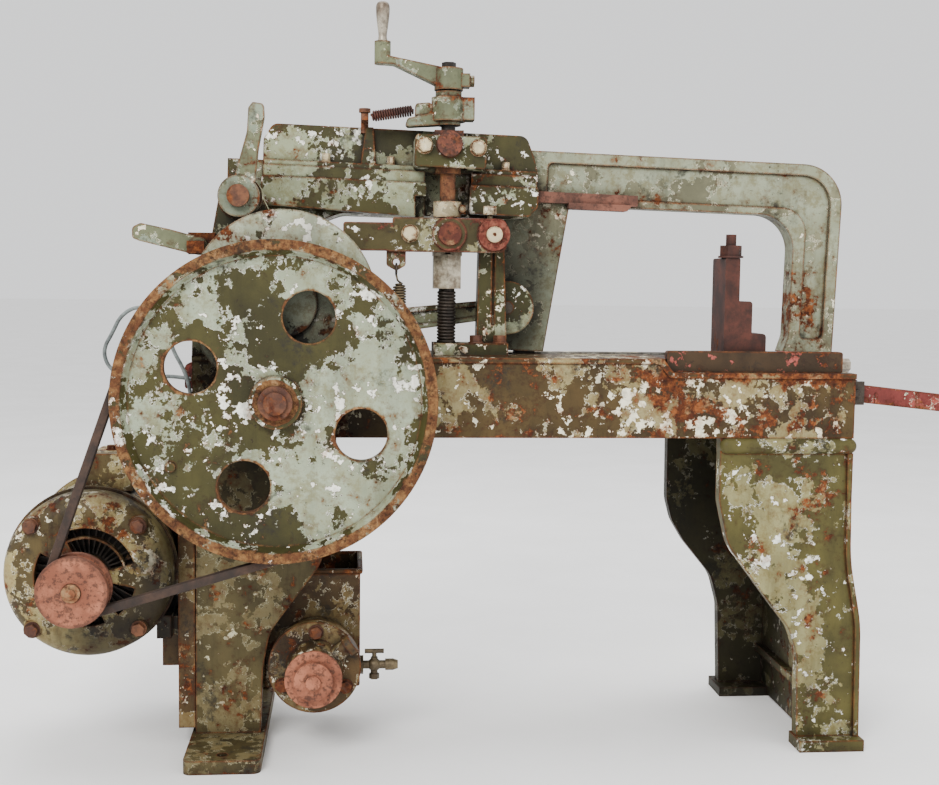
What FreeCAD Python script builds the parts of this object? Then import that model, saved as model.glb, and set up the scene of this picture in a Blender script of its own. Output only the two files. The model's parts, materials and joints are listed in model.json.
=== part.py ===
import FreeCAD, Part
import math
import os

# Floor-standing power hacksaw, millimetres.
# The frame's origin is on the floor under the middle of the machine: +X runs from the drive end to the
# vise end, +Y from the operator's side to the back, and +Z is up. Places below are written in drawing
# coordinates, with X from the flywheel's axis, Y from the bed's front face and Z from the floor. Every
# solid is shifted to the frame's origin when it is written.

# ---------------------------------------------------------------- driving dimensions
DRAWING_TO_FRAME_X = -318.9
DRAWING_TO_FRAME_Y = -93.0

BED_LEFT, BED_RIGHT = -130.0, 885.0
BED_DEPTH = 320.0
BED_BOTTOM, BED_TOP = 493.0, 615.0
BED_STEP_X = 583.0
VISE_SEAT_Z = 594.0
BED_WALL = 16.0
LEG_PLATE = 16.0
FOOT_HOLE_RADIUS = 8.0

FLYWHEEL_Z = 557.0
FLYWHEEL_RADIUS = 227.0
FLYWHEEL_FRONT, FLYWHEEL_BACK = -135.0, -86.0
RIM_INNER_RADIUS = 203.0
LIP_INNER_RADIUS = 213.0
WEB_FRONT = -118.0
SHAFT_RADIUS = 16.0
CRANK_SHAFT_RADIUS = 18.0
CRANK_PIN_RADIUS = 12.0
BUSH_RADIUS, CRANK_BUSH_RADIUS = 28.0, 30.0

GEAR_MODULE = 3.0
PINION_TEETH, CRANK_TEETH = 18, 74
GEAR_CENTRES = GEAR_MODULE * (PINION_TEETH + CRANK_TEETH) / 2
CRANK_X = 8.0
CRANK_Z = FLYWHEEL_Z + math.sqrt(GEAR_CENTRES ** 2 - CRANK_X ** 2)
CRANK_RADIUS = 60.0
CRANK_PIN_X = CRANK_X - 30.0
CRANK_PIN_Z = CRANK_Z - math.sqrt(CRANK_RADIUS ** 2 - (CRANK_X - CRANK_PIN_X) ** 2)
GUARD_RADIUS = 134.0

MOTOR_X, MOTOR_Z = -281.0, 291.0
MOTOR_RADIUS = 127.0
MOTOR_PULLEY_RADIUS = 50.0
MOTOR_SHELL_RADIUS = 120.0
MOTOR_SHAFT_RADIUS = 13.0
VENT_INNER_RADIUS, VENT_OUTER_RADIUS = 33.0, 73.0
FAN_BLADES = 36
BELT_WIDTH, BELT_THICKNESS = 16.0, 12.0
BELT_MIDDLE_Y = -110.0
GROOVE_MARGIN = 1.5
GROOVE_LOW, GROOVE_HIGH = BELT_MIDDLE_Y - BELT_WIDTH / 2 - 2, BELT_MIDDLE_Y + BELT_WIDTH / 2 + 2
FLYWHEEL_PITCH_RADIUS, MOTOR_PITCH_RADIUS = 217.0, 40.0

PIVOT_X, PIVOT_Z = -58.0, 848.0
PIVOT_PIN_RADIUS, PIVOT_STUD_RADIUS = 15.0, 10.0
ROD_PIN_RADIUS = 9.0
ROD_PIN_X, ROD_PIN_Z = 349.0, 689.0
ARM_TILT = 1.6
BOW_FRONT, BOW_BACK = 125.0, 165.0

SCREW_X, SCREW_Y = 251.0, 60.0
TRUNNION_SWING = 28.0
SCREW_RADIUS, SCREW_NECK_RADIUS = 14.0, 11.0
UPPER_TRUNNION_RADIUS, LOWER_TRUNNION_RADIUS = 19.0, 17.0
NUT_CLEARANCE = 4.4
THREAD_PITCH = 5.0
THREAD_ROOT_RADIUS = 12.4
UPPER_TRUNNION_Z = 935.0
LOWER_TRUNNION_Z = 800.0
LEVER_PIVOT_X = 318.0
POST_BASE_TOP = 635.0
LEVER_PIN_RADIUS, HAND_LEVER_PIN_RADIUS = 8.0, 7.0
HAND_LEVER_X, HAND_LEVER_Z = -118.0, 776.0

VISE_TOP = 614.0
JAW_SCREW_Y, JAW_SCREW_Z = 70.0, 603.0
JAW_SCREW_RADIUS = 6.0
CLAMP_X, CLAMP_Z = 899.5, 561.0
CLAMP_PIN_RADIUS = 6.0
PUMP_X, PUMP_Z = 51.0, 135.0
PUMP_SHAFT_RADIUS = 11.0

RUNNING_FIT = 0.06
CLEARANCE = 0.5


# ---------------------------------------------------------------- helpers
def vec(x, y, z):
    return FreeCAD.Vector(x, y, z)


def block(x0, x1, y0, y1, z0, z1):
    return Part.makeBox(x1 - x0, y1 - y0, z1 - z0, vec(x0, y0, z0))


def rod_x(y, z, radius, x0, x1):
    return Part.makeCylinder(radius, x1 - x0, vec(x0, y, z), vec(1, 0, 0))


def rod_y(x, z, radius, y0, y1):
    return Part.makeCylinder(radius, y1 - y0, vec(x, y0, z), vec(0, 1, 0))


def rod_z(x, y, radius, z0, z1):
    return Part.makeCylinder(radius, z1 - z0, vec(x, y, z0), vec(0, 0, 1))


def ring_y(x, z, outer, inner, y0, y1):
    return rod_y(x, z, outer, y0, y1).cut(rod_y(x, z, inner, y0 - 1, y1 + 1))


def fuse(first, *others):
    return first.fuse(list(others)).removeSplitter()


def outline(corners):
    """Closed wire in the XZ plane. Each corner is (x, z) or (x, z, rounding radius)."""
    count = len(corners)
    places = [vec(corner[0], 0, corner[1]) for corner in corners]
    starts, ends, middles = [], [], []
    for index, corner in enumerate(corners):
        here = places[index]
        radius = corner[2] if len(corner) > 2 else 0.0
        if radius == 0.0:
            starts.append(here)
            ends.append(here)
            middles.append(None)
            continue
        before = (places[index - 1] - here).normalize()
        after = (places[(index + 1) % count] - here).normalize()
        half = before.getAngle(after) / 2
        inward = (before + after).normalize()
        starts.append(here + before * (radius / math.tan(half)))
        ends.append(here + after * (radius / math.tan(half)))
        middles.append(here + inward * (radius / math.sin(half) - radius))
    edges = []
    for index in range(count):
        if middles[index] is not None:
            edges.append(Part.Arc(starts[index], middles[index], ends[index]).toShape())
        following = starts[(index + 1) % count]
        if (following - ends[index]).Length > 1e-6:
            edges.append(Part.LineSegment(ends[index], following).toShape())
    return Part.Wire(edges)


def plate(corners, y0, y1):
    """Solid with the given XZ outline from y0 to y1."""
    face = Part.Face(outline(corners))
    face.translate(vec(0, y0, 0))
    return face.extrude(vec(0, y1 - y0, 0))


def regular_prism(centre, axis, across_flats, height, sides=6, turn=0.0):
    """Prism such as a nut or a bolt head, standing on centre along axis."""
    radius = across_flats / 2 / math.cos(math.pi / sides)
    points = []
    for index in range(sides + 1):
        angle = 2 * math.pi * (index % sides) / sides + turn
        points.append(vec(radius * math.cos(angle), radius * math.sin(angle), 0))
    solid = Part.Face(Part.makePolygon(points)).extrude(vec(0, 0, height))
    solid.Placement = FreeCAD.Placement(centre, FreeCAD.Rotation(vec(0, 0, 1), axis))
    return solid


def front_bolt(x, z, seat_y, across_flats=19.0, head=10.0, washer=2.0):
    """Hex head and washer against a front face at seat_y."""
    disc = rod_y(x, z, across_flats * 0.68, seat_y - washer, seat_y)
    top = regular_prism(vec(x, seat_y - washer, z), vec(0, -1, 0), across_flats, head, turn=0.3)
    return fuse(disc, top)


def top_bolt(x, y, seat_z, across_flats=19.0, head=10.0, washer=2.0):
    """Hex head and washer on an upper face at seat_z."""
    disc = rod_z(x, y, across_flats * 0.68, seat_z, seat_z + washer)
    return fuse(disc, regular_prism(vec(x, y, seat_z + washer), vec(0, 0, 1), across_flats, head))


def tilted(shape):
    """Turn a shape about the overarm's pivot to the overarm's slope at rest."""
    shape.rotate(vec(PIVOT_X, 0, PIVOT_Z), vec(0, 1, 0), ARM_TILT)
    return shape


def on_arm(x, z):
    """Place of a point, given in the level overarm's plane, once the overarm slopes."""
    angle = math.radians(ARM_TILT)
    dx, dz = x - PIVOT_X, z - PIVOT_Z
    return (PIVOT_X + dx * math.cos(angle) + dz * math.sin(angle),
            PIVOT_Z - dx * math.sin(angle) + dz * math.cos(angle))


def gear(x, z, teeth, y0, y1, first_tooth_angle, backlash=0.5):
    """Involute spur gear about a Y axis, with one tooth centred on first_tooth_angle."""
    pitch = GEAR_MODULE * teeth / 2
    base = pitch * math.cos(math.radians(20))
    root, tip = pitch - 1.25 * GEAR_MODULE, pitch + 0.95 * GEAR_MODULE

    def involute(radius):
        slope = math.sqrt(max((radius / base) ** 2 - 1, 0.0))
        return slope - math.atan(slope)

    half_at_pitch = math.pi / 2 / teeth - backlash / 2 / pitch
    flank = []
    for radius in (root, max(base, root) + 0.2, pitch, tip):
        flank.append((radius, half_at_pitch + involute(pitch) - involute(radius)))
    points = []
    for tooth in range(teeth):
        middle = first_tooth_angle + 2 * math.pi * tooth / teeth
        profile = [(radius, middle - half) for radius, half in flank]
        profile += [(radius, middle + half) for radius, half in reversed(flank)]
        points += [vec(x + r * math.cos(a), y0, z + r * math.sin(a)) for r, a in profile]
    points.append(points[0])
    return Part.Face(Part.makePolygon(points)).extrude(vec(0, y1 - y0, 0))


def coil(x, y, z, axis, length, radius, wire):
    """Tension spring drawn as a close stack of rings along axis."""
    turns = int(length / (wire * 1.25))
    core = Part.makeCylinder(radius - wire * 0.75, length)
    for turn in range(turns):
        height = (turn + 0.5) * length / turns
        core = core.fuse(Part.makeTorus(radius - wire / 2, wire / 2, vec(0, 0, height)))
    core.Placement = FreeCAD.Placement(vec(x, y, z), FreeCAD.Rotation(vec(0, 0, 1), axis))
    return core


def tube_along(points, diameter, name):
    """Round tube along straight runs joined by tangent arcs, each as large as its runs allow."""
    places = [vec(*point) for point in points]
    edges, length, radii = [], 0.0, []
    here = places[0]
    for index in range(1, len(places) - 1):
        corner = places[index]
        back, ahead = places[index - 1] - corner, places[index + 1] - corner
        turn = math.pi - back.getAngle(ahead)
        radius = 0.45 * min(back.Length, ahead.Length) / math.tan(turn / 2)
        trim = radius * math.tan(turn / 2)
        back.normalize()
        ahead.normalize()
        inward = (back + ahead).normalize()
        start, end = corner + back * trim, corner + ahead * trim
        middle = corner + inward * (radius / math.cos(turn / 2) - radius)
        edges.append(Part.LineSegment(here, start).toShape())
        edges.append(Part.Arc(start, middle, end).toShape())
        length += (start - here).Length + radius * turn
        radii.append(radius)
        here = end
    edges.append(Part.LineSegment(here, places[-1]).toShape())
    length += (places[-1] - here).Length
    path = Part.Wire(edges)
    section = Part.Wire(Part.makeCircle(diameter / 2, places[0], places[1] - places[0]))
    tube = path.makePipeShell([section], True, False)
    expected = math.pi * diameter ** 2 / 4 * length
    print(name, "length %.1f mm, radii" % length, ["%.0f" % radius for radius in radii],
          "volume / (section x length) %.4f" % (tube.Volume / expected))
    return tube


NODES = {}


def node(name, shape):
    NODES[name] = shape


# ---------------------------------------------------------------- frame castings
BLADE_Y = (BOW_FRONT + BOW_BACK) / 2
SLOT_HALF_WIDTH = 12.0
BLADE_TOP = 617.0


def bed():
    """Hollow bed casting, open below, with the blade slot and the flywheel bearing's bore."""
    body = block(BED_LEFT, BED_RIGHT, 0, BED_DEPTH, BED_BOTTOM, BED_TOP)
    body = body.cut(block(BED_STEP_X, BED_RIGHT + 1, -1, BED_DEPTH + 1, VISE_SEAT_Z, BED_TOP + 1))
    for low, high in ((BED_LEFT, 160.0), (160.0, 560.0), (560.0, BED_RIGHT)):
        body = body.cut(block(low + BED_WALL, high - BED_WALL, BED_WALL, BED_DEPTH - BED_WALL,
                              BED_BOTTOM - 1, VISE_SEAT_Z - BED_WALL))
    body = body.cut(block(130, BED_STEP_X + 1, 210, BED_DEPTH + 1, VISE_SEAT_Z + 2, BED_TOP + 1))
    slot = block(265.0, BED_RIGHT + 1, BLADE_Y - SLOT_HALF_WIDTH, BLADE_Y + SLOT_HALF_WIDTH,
                 VISE_SEAT_Z - 4, BED_TOP + 1)
    body = body.cut(slot)
    body = body.cut(rod_y(0, FLYWHEEL_Z, BUSH_RADIUS, -1, 111))
    body = body.cut(block(-105, 215, 54, 126, VISE_SEAT_Z + 3, BED_TOP + 1))
    edge_left = block(BED_LEFT, -102, -4, 0, BED_TOP - 8, BED_TOP)
    edge_right = plate([(118, BED_TOP - 8), (118, BED_TOP), (580, BED_TOP, 8), (596, VISE_SEAT_Z, 8),
                        (BED_RIGHT, VISE_SEAT_Z), (BED_RIGHT, VISE_SEAT_Z - 8), (590, VISE_SEAT_Z - 8, 8),
                        (574, BED_TOP - 8, 8)], -4, 0)
    node("bed", fuse(body, edge_left, edge_right))


def left_leg():
    """Leg under the drive end: front and back plates joined by a side web, on one foot."""
    edge = [(-132, BED_BOTTOM), (-134, 14), (-34, 14), (-30, 124, 60), (-20, 180, 60), (58, 286, 60),
            (80, 360, 60), (80, BED_BOTTOM)]
    front = plate(edge, 60, 60 + LEG_PLATE)
    back = plate(edge, 300 - LEG_PLATE, 300)
    web = block(-133, -118, 70, 290, 14, BED_BOTTOM)
    foot = block(-140, -26, -62, 326, 0, 21)
    foot = foot.makeFillet(12, [edge for edge in foot.Edges if edge.BoundBox.ZLength > 15])
    for hole_y in (-36, 312):
        foot = foot.cut(rod_z(-84, hole_y, FOOT_HOLE_RADIUS, -1, 22))
    node("left_leg", fuse(front, back, web, foot))


def right_legs():
    """Front and back legs under the vise end, each with a moulding under the bed."""
    front_edge = [(674, 480), (674, 395, 60), (690, 325, 80), (757, 236, 120), (792, 192, 60),
                  (806, 150, 60), (810, 0), (909, 0), (905, 200, 250), (885, 300, 300), (883, 400),
                  (883, 480)]
    front = plate(front_edge, 2, 24)
    beads = [plate([(875, 470), (877, 380), (878, 300, 300), (897, 200, 250), (900, 16), (909, 16),
                    (906, 200, 250), (886, 300, 300), (884, 400), (884, 470)], -3, 3)]
    moulding = fuse(block(674, 883, 2, 26, 469, BED_BOTTOM), rod_x(2, 481, 12, 684, 878),
                    Part.makeSphere(12, vec(684, 2, 481)), Part.makeSphere(12, vec(878, 2, 481)))
    foot = block(807, 911, -22, 30, 0, 18)
    front_leg = fuse(front, moulding, foot, *beads)
    back_edge = [(663, 480), (664, 350, 60), (674, 312, 60), (697, 274, 80), (748, 212, 60), (762, 160, 60),
                 (768, 0), (900, 0), (896, 200, 250), (883, 300, 300), (883, 480)]
    back = plate(back_edge, 296, 318)
    back_moulding = plate([(660, 469, 5), (891, 469, 5), (891, BED_BOTTOM), (660, BED_BOTTOM)], 270, 330)
    back_foot = block(760, 904, 262, 334, 0, 16)
    back_leg = fuse(back, back_moulding, back_foot)
    web = block(846, 858, 20, 300, 4, BED_BOTTOM)
    lip = block(834, 847, 24, 296, 73, 86)
    node("right_legs", fuse(front_leg, back_leg, web, lip))


def pedestals():
    """Castings on the bed that carry the crank shaft and the overarm's pivot."""
    sides = [(-130, BED_TOP), (-128, 700), (-104, 772), (-92, 838), (-90, PIVOT_Z), (-26, PIVOT_Z),
             (0, 796), (106, 763, 40), (118, BED_TOP)]
    front = fuse(plate(sides, 0, 44), rod_y(PIVOT_X, PIVOT_Z, 32, -14, 44))
    front = front.cut(rod_y(CRANK_X, CRANK_Z, CRANK_BUSH_RADIUS, -1, 50))
    front = front.cut(rod_y(PIVOT_X, PIVOT_Z, PIVOT_PIN_RADIUS, -20, 50))
    back = fuse(plate(sides, 226, 256), rod_y(PIVOT_X, PIVOT_Z, 33, 222, 262))
    back = back.cut(rod_y(PIVOT_X, PIVOT_Z, PIVOT_PIN_RADIUS, 200, 270))
    node("pedestals", Part.makeCompound([front, back]))
    stud = rod_y(PIVOT_X, PIVOT_Z, PIVOT_STUD_RADIUS, -46, -22)
    stud = fuse(stud, rod_y(PIVOT_X, PIVOT_Z, 16, -52, -40.5))
    pin = fuse(rod_y(PIVOT_X, PIVOT_Z, PIVOT_PIN_RADIUS, -22, 268), rod_y(PIVOT_X, PIVOT_Z, 19, 262, 268))
    node("pivot_pin", fuse(pin, stud))


def bearings():
    """Bronze bushes of the flywheel shaft and the crank shaft."""
    bush = fuse(rod_y(0, FLYWHEEL_Z, BUSH_RADIUS, 0, 110), rod_y(0, FLYWHEEL_Z, 40, -10, 0))
    flywheel_bush = bush.cut(rod_y(0, FLYWHEEL_Z, SHAFT_RADIUS + RUNNING_FIT, -12, 112))
    bush = fuse(rod_y(CRANK_X, CRANK_Z, CRANK_BUSH_RADIUS, 0, 44), rod_y(CRANK_X, CRANK_Z, 40, 44, 52))
    crank_bush = bush.cut(rod_y(CRANK_X, CRANK_Z, CRANK_SHAFT_RADIUS + RUNNING_FIT, -1, 54))
    node("shaft_bearings", Part.makeCompound([flywheel_bush, crank_bush]))


def gear_guard():
    """Cast cover around the crank gear and the pinion, open at the back."""
    def shell(shrink, y0, y1):
        lower = 46.0 - shrink
        big = rod_y(CRANK_X, CRANK_Z, GUARD_RADIUS - shrink, y0, y1)
        small = rod_y(0, FLYWHEEL_Z, lower, y0, y1)
        neck = block(-lower, lower, y0, y1, FLYWHEEL_Z, CRANK_Z)
        return fuse(big, small, neck)
    cover = shell(0, -72, 0).cut(shell(6, -66, 1))
    cover = cover.fuse(rod_y(CRANK_X, CRANK_Z, 48, -80, -66))
    cover = cover.cut(rod_y(0, FLYWHEEL_Z, SHAFT_RADIUS + 3, -80, 0))
    collar = ring_y(CRANK_X, CRANK_Z, 48, 36, -66.5, -64)
    node("gear_guard", fuse(cover, collar))


# ---------------------------------------------------------------- drive
def flywheel():
    """Belt flywheel: flanged grooved rim, dished web with four holes, hub."""
    rim = ring_y(0, FLYWHEEL_Z, FLYWHEEL_RADIUS, RIM_INNER_RADIUS, FLYWHEEL_FRONT, FLYWHEEL_BACK)
    slope = Part.makeCone(LIP_INNER_RADIUS, RIM_INNER_RADIUS + 2, WEB_FRONT - FLYWHEEL_FRONT,
                          vec(0, FLYWHEEL_FRONT, FLYWHEEL_Z), vec(0, 1, 0))
    rim = rim.cut(slope)
    groove_floor = FLYWHEEL_PITCH_RADIUS - BELT_THICKNESS / 2 - GROOVE_MARGIN
    rim = rim.cut(ring_y(0, FLYWHEEL_Z, FLYWHEEL_RADIUS + 1, groove_floor, GROOVE_LOW, GROOVE_HIGH))
    web = rod_y(0, FLYWHEEL_Z, RIM_INNER_RADIUS + 1, WEB_FRONT, -104)
    for degrees in (69, 158, 249.5, 339):
        angle = math.radians(degrees)
        web = web.cut(rod_y(128 * math.cos(angle), FLYWHEEL_Z + 128 * math.sin(angle), 37, -130, -90))
    hub = rod_y(0, FLYWHEEL_Z, 37, -132, -84)
    bolt_angle = math.radians(212)
    bolt = rod_y(172 * math.cos(bolt_angle), FLYWHEEL_Z + 172 * math.sin(bolt_angle), 7, -124, -117)
    wheel = fuse(rim, web, hub, bolt).cut(rod_y(0, FLYWHEEL_Z, SHAFT_RADIUS, -140, -80))
    node("flywheel", wheel)
    shaft = fuse(rod_y(0, FLYWHEEL_Z, SHAFT_RADIUS, -148, 116), rod_y(0, FLYWHEEL_Z, 24, -142, -132))
    node("flywheel_shaft", shaft)


def gears():
    """Pinion on the flywheel shaft and the large gear on the crank shaft."""
    line = math.atan2(CRANK_Z - FLYWHEEL_Z, CRANK_X)
    pinion = gear(0, FLYWHEEL_Z, PINION_TEETH, -60, -26, line)
    node("pinion", pinion.cut(rod_y(0, FLYWHEEL_Z, SHAFT_RADIUS, -62, -24)))
    gap_angle = line + math.pi + math.pi / CRANK_TEETH
    wheel = gear(CRANK_X, CRANK_Z, CRANK_TEETH, -56, -28, gap_angle)
    for y0, y1 in ((-57, -47), (-37, -27)):
        wheel = wheel.cut(ring_y(CRANK_X, CRANK_Z, 94, 36, y0, y1))
    node("crank_gear", wheel.cut(rod_y(CRANK_X, CRANK_Z, CRANK_SHAFT_RADIUS, -60, -20)))
    disc = fuse(rod_y(CRANK_X, CRANK_Z, 88, 60, 84), rod_y(CRANK_X, CRANK_Z, 34, 54, 60),
                rod_y(CRANK_X, CRANK_Z, CRANK_SHAFT_RADIUS, -58, 60))
    disc = disc.cut(rod_y(CRANK_PIN_X, CRANK_PIN_Z, CRANK_PIN_RADIUS + 1, 66, 90))
    node("crank_shaft", disc)


def belt():
    """V-belt around the flywheel and the motor pulley, as one closed loop."""
    dx, dz = MOTOR_X, MOTOR_Z - FLYWHEEL_Z
    distance = math.hypot(dx, dz)
    heading = math.atan2(dz, dx)
    spread = math.acos((FLYWHEEL_PITCH_RADIUS - MOTOR_PITCH_RADIUS) / distance)

    def loop(offset):
        big, small = FLYWHEEL_PITCH_RADIUS + offset, MOTOR_PITCH_RADIUS + offset

        def at(cx, cz, radius, angle):
            return vec(cx + radius * math.cos(angle), 0, cz + radius * math.sin(angle))
        one, two = heading - spread, heading + spread
        edges = [
            Part.LineSegment(at(0, FLYWHEEL_Z, big, one), at(MOTOR_X, MOTOR_Z, small, one)).toShape(),
            Part.Arc(at(MOTOR_X, MOTOR_Z, small, one), at(MOTOR_X, MOTOR_Z, small, heading),
                     at(MOTOR_X, MOTOR_Z, small, two)).toShape(),
            Part.LineSegment(at(MOTOR_X, MOTOR_Z, small, two), at(0, FLYWHEEL_Z, big, two)).toShape(),
            Part.Arc(at(0, FLYWHEEL_Z, big, two), at(0, FLYWHEEL_Z, big, heading + math.pi),
                     at(0, FLYWHEEL_Z, big, one)).toShape(),
        ]
        return Part.Face(Part.Wire(edges))
    band = loop(BELT_THICKNESS / 2).cut(loop(-BELT_THICKNESS / 2))
    band.translate(vec(0, BELT_MIDDLE_Y - BELT_WIDTH / 2, 0))
    node("drive_belt", band.extrude(vec(0, BELT_WIDTH, 0)))


# ---------------------------------------------------------------- motor
def arc_vent(y0, y1, first, last):
    """Curved opening of a motor end bell, between two angles in degrees."""
    corners = [(MOTOR_X, MOTOR_Z)]
    for step in range(5):
        angle = math.radians(first + (last - first) * step / 4)
        corners.append((MOTOR_X + 150 * math.cos(angle), MOTOR_Z + 150 * math.sin(angle)))
    band = ring_y(MOTOR_X, MOTOR_Z, VENT_OUTER_RADIUS, VENT_INNER_RADIUS, y0, y1)
    return band.common(plate(corners, y0, y1))


def bell_vents(y0, y1):
    """The large upper opening, crossed by a thin ring, and the three smaller openings."""
    large = arc_vent(y0, y1, 16, 116).cut(ring_y(MOTOR_X, MOTOR_Z, 60, 57, y0 - 1, y1 + 1))
    return [large] + [arc_vent(y0, y1, first, last) for first, last in ((150, 215), (240, 292), (310, 347))]


def bell_bolt_places():
    """Four places around the motor where its end bells are bolted through."""
    angles = [math.radians(degrees) for degrees in (45, 135, 225, 315)]
    return [(MOTOR_X + 108 * math.cos(angle), MOTOR_Z + 108 * math.sin(angle)) for angle in angles]


def motor():
    """Electric motor: body shell, end bells, terminal cover, rotor, fan and pulley."""
    body = ring_y(MOTOR_X, MOTOR_Z, MOTOR_SHELL_RADIUS, 104, 22, 190)
    feet = []
    for y0 in (60, 130):
        feet.append(block(-176, -160, y0, y0 + 50, 178, 208))
        feet.append(block(-176, -160, y0, y0 + 50, 380, 404))
    pads = [block(-190, -168, 40, 180, 178, 214), block(-190, -168, 40, 180, 366, 404)]
    body = fuse(body, *feet, *pads)
    body = body.cut(rod_y(MOTOR_X, MOTOR_Z, 104, 22, 190))
    node("motor_body", body)
    for name, y0, y1, open_low, open_high in (("motor_front_bell", -36, 22, -24, 23),
                                              ("motor_back_bell", 190, 240, 189, 228)):
        bell = rod_y(MOTOR_X, MOTOR_Z, MOTOR_RADIUS - 4, y0, y1)
        edge_y = y0 if y0 < 0 else y1
        rounding = [edge for edge in bell.Edges if abs(edge.BoundBox.YMin - edge_y) < 0.1
                    and abs(edge.BoundBox.YMax - edge_y) < 0.1]
        bell = bell.makeFillet(30, rounding)
        flange = (14, 22) if y0 < 0 else (190, 198)
        bell = bell.fuse(rod_y(MOTOR_X, MOTOR_Z, MOTOR_RADIUS, *flange))
        bell = bell.cut(rod_y(MOTOR_X, MOTOR_Z, 98, open_low, open_high))
        bell = bell.cut(bell_vents(y0 - 1, y1 + 1))
        for x, z in bell_bolt_places():
            bell = bell.fuse(rod_y(x, z, 13, y0, y1))
        nose = (-62, -24) if y0 < 0 else (228, 252)
        bell = bell.fuse(rod_y(MOTOR_X, MOTOR_Z, VENT_INNER_RADIUS - 3, *nose))
        node(name, bell.cut(rod_y(MOTOR_X, MOTOR_Z, MOTOR_SHAFT_RADIUS + RUNNING_FIT, y0 - 40, y1 + 40)))
    bolts = []
    for x, z in bell_bolt_places():
        bolts.append(front_bolt(x, z, -36, across_flats=17))
    for degrees in (88, 208, 328):
        angle = math.radians(degrees)
        x, z = PUMP_X + 56 * math.cos(angle), PUMP_Z + 56 * math.sin(angle)
        bolts.append(front_bolt(x, z, 20, 17, 8))
    bolts += [top_bolt(x, 44, POST_BASE_TOP, across_flats=17) for x in (SCREW_X + 45, 333)]
    node("frame_bolts", Part.makeCompound(bolts))
    box = plate([(-306, 405), (-294, 462, 12), (-226, 462, 12), (-226, 405)], 50, 150)
    box = box.cut(rod_y(MOTOR_X, MOTOR_Z, MOTOR_SHELL_RADIUS + 0.05, 40, 160))
    node("terminal_cover", box.fuse(top_bolt(-265, 100, 462, 13, 6, 1.5)))
    pulley = rod_y(MOTOR_X, MOTOR_Z, MOTOR_PULLEY_RADIUS, -134, -92)
    groove_floor = MOTOR_PITCH_RADIUS - BELT_THICKNESS / 2 - GROOVE_MARGIN
    groove = ring_y(MOTOR_X, MOTOR_Z, MOTOR_PULLEY_RADIUS + 1, groove_floor, GROOVE_LOW, GROOVE_HIGH)
    pulley = pulley.cut(groove)
    node("motor_pulley", pulley.cut(rod_y(MOTOR_X, MOTOR_Z, MOTOR_SHAFT_RADIUS + 0.02, -140, -90)))
    washer = rod_y(MOTOR_X, MOTOR_Z, 13, -138, -134)
    shaft = fuse(rod_y(MOTOR_X, MOTOR_Z, MOTOR_SHAFT_RADIUS, -134, 262), rod_y(MOTOR_X, MOTOR_Z, 60, 50, 165),
                 rod_y(MOTOR_X, MOTOR_Z, 7, -142, -134), washer)
    fan = rod_y(MOTOR_X, MOTOR_Z, 84, 4, 8)
    for index in range(FAN_BLADES):
        blade = block(30, 84, -4, 5, -1.2, 1.2)
        blade.rotate(vec(0, 0, 0), vec(0, 1, 0), 360 * index / FAN_BLADES)
        blade.translate(vec(MOTOR_X, 0, MOTOR_Z))
        fan = fan.fuse(blade)
    fan = fan.fuse(rod_y(MOTOR_X, MOTOR_Z, 24, -6, 16))
    node("motor_rotor", fuse(shaft, fan))
    upright = fuse(block(-160, -134.5, 60, 186, 30, 470), block(-150, -134.5, 186, 286, 30, 470))
    lower = block(-187, -159, 80, 200, 124, 177)
    node("motor_bracket", fuse(upright, lower))


def wiring():
    """Switch box on the bed's end, its gland, and the slack loop of lead that it holds at both ends."""
    box = plate([(-156, 556, 4), (-156, 597, 10), (BED_LEFT, 597), (BED_LEFT, 556)], 124, 190)
    gland = fuse(rod_z(-143, 100, 6, 512, 534), rod_z(-143, 100, 8, 512, 520))
    clip = block(-152, BED_LEFT, 92, 108, 506, 512)
    inlet = rod_x(112, 572, 6, BED_LEFT - 14, BED_LEFT)
    node("switch_box", Part.makeCompound([box, fuse(gland, clip), inlet]))
    route = [(-143, 100, 534), (-145, 100, 560), (-155, 99, 590), (-171, 98, 618), (-178, 97, 650),
             (-196, 97, 678), (-225, 97, 686), (-250, 97, 670), (-262, 98, 644), (-277, 99, 618),
             (-270, 101, 590), (-243, 105, 573), (-210, 109, 572), (-178, 112, 578), (-144, 112, 572)]
    node("motor_lead", tube_along(route, 6.0, "motor_lead"))


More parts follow.
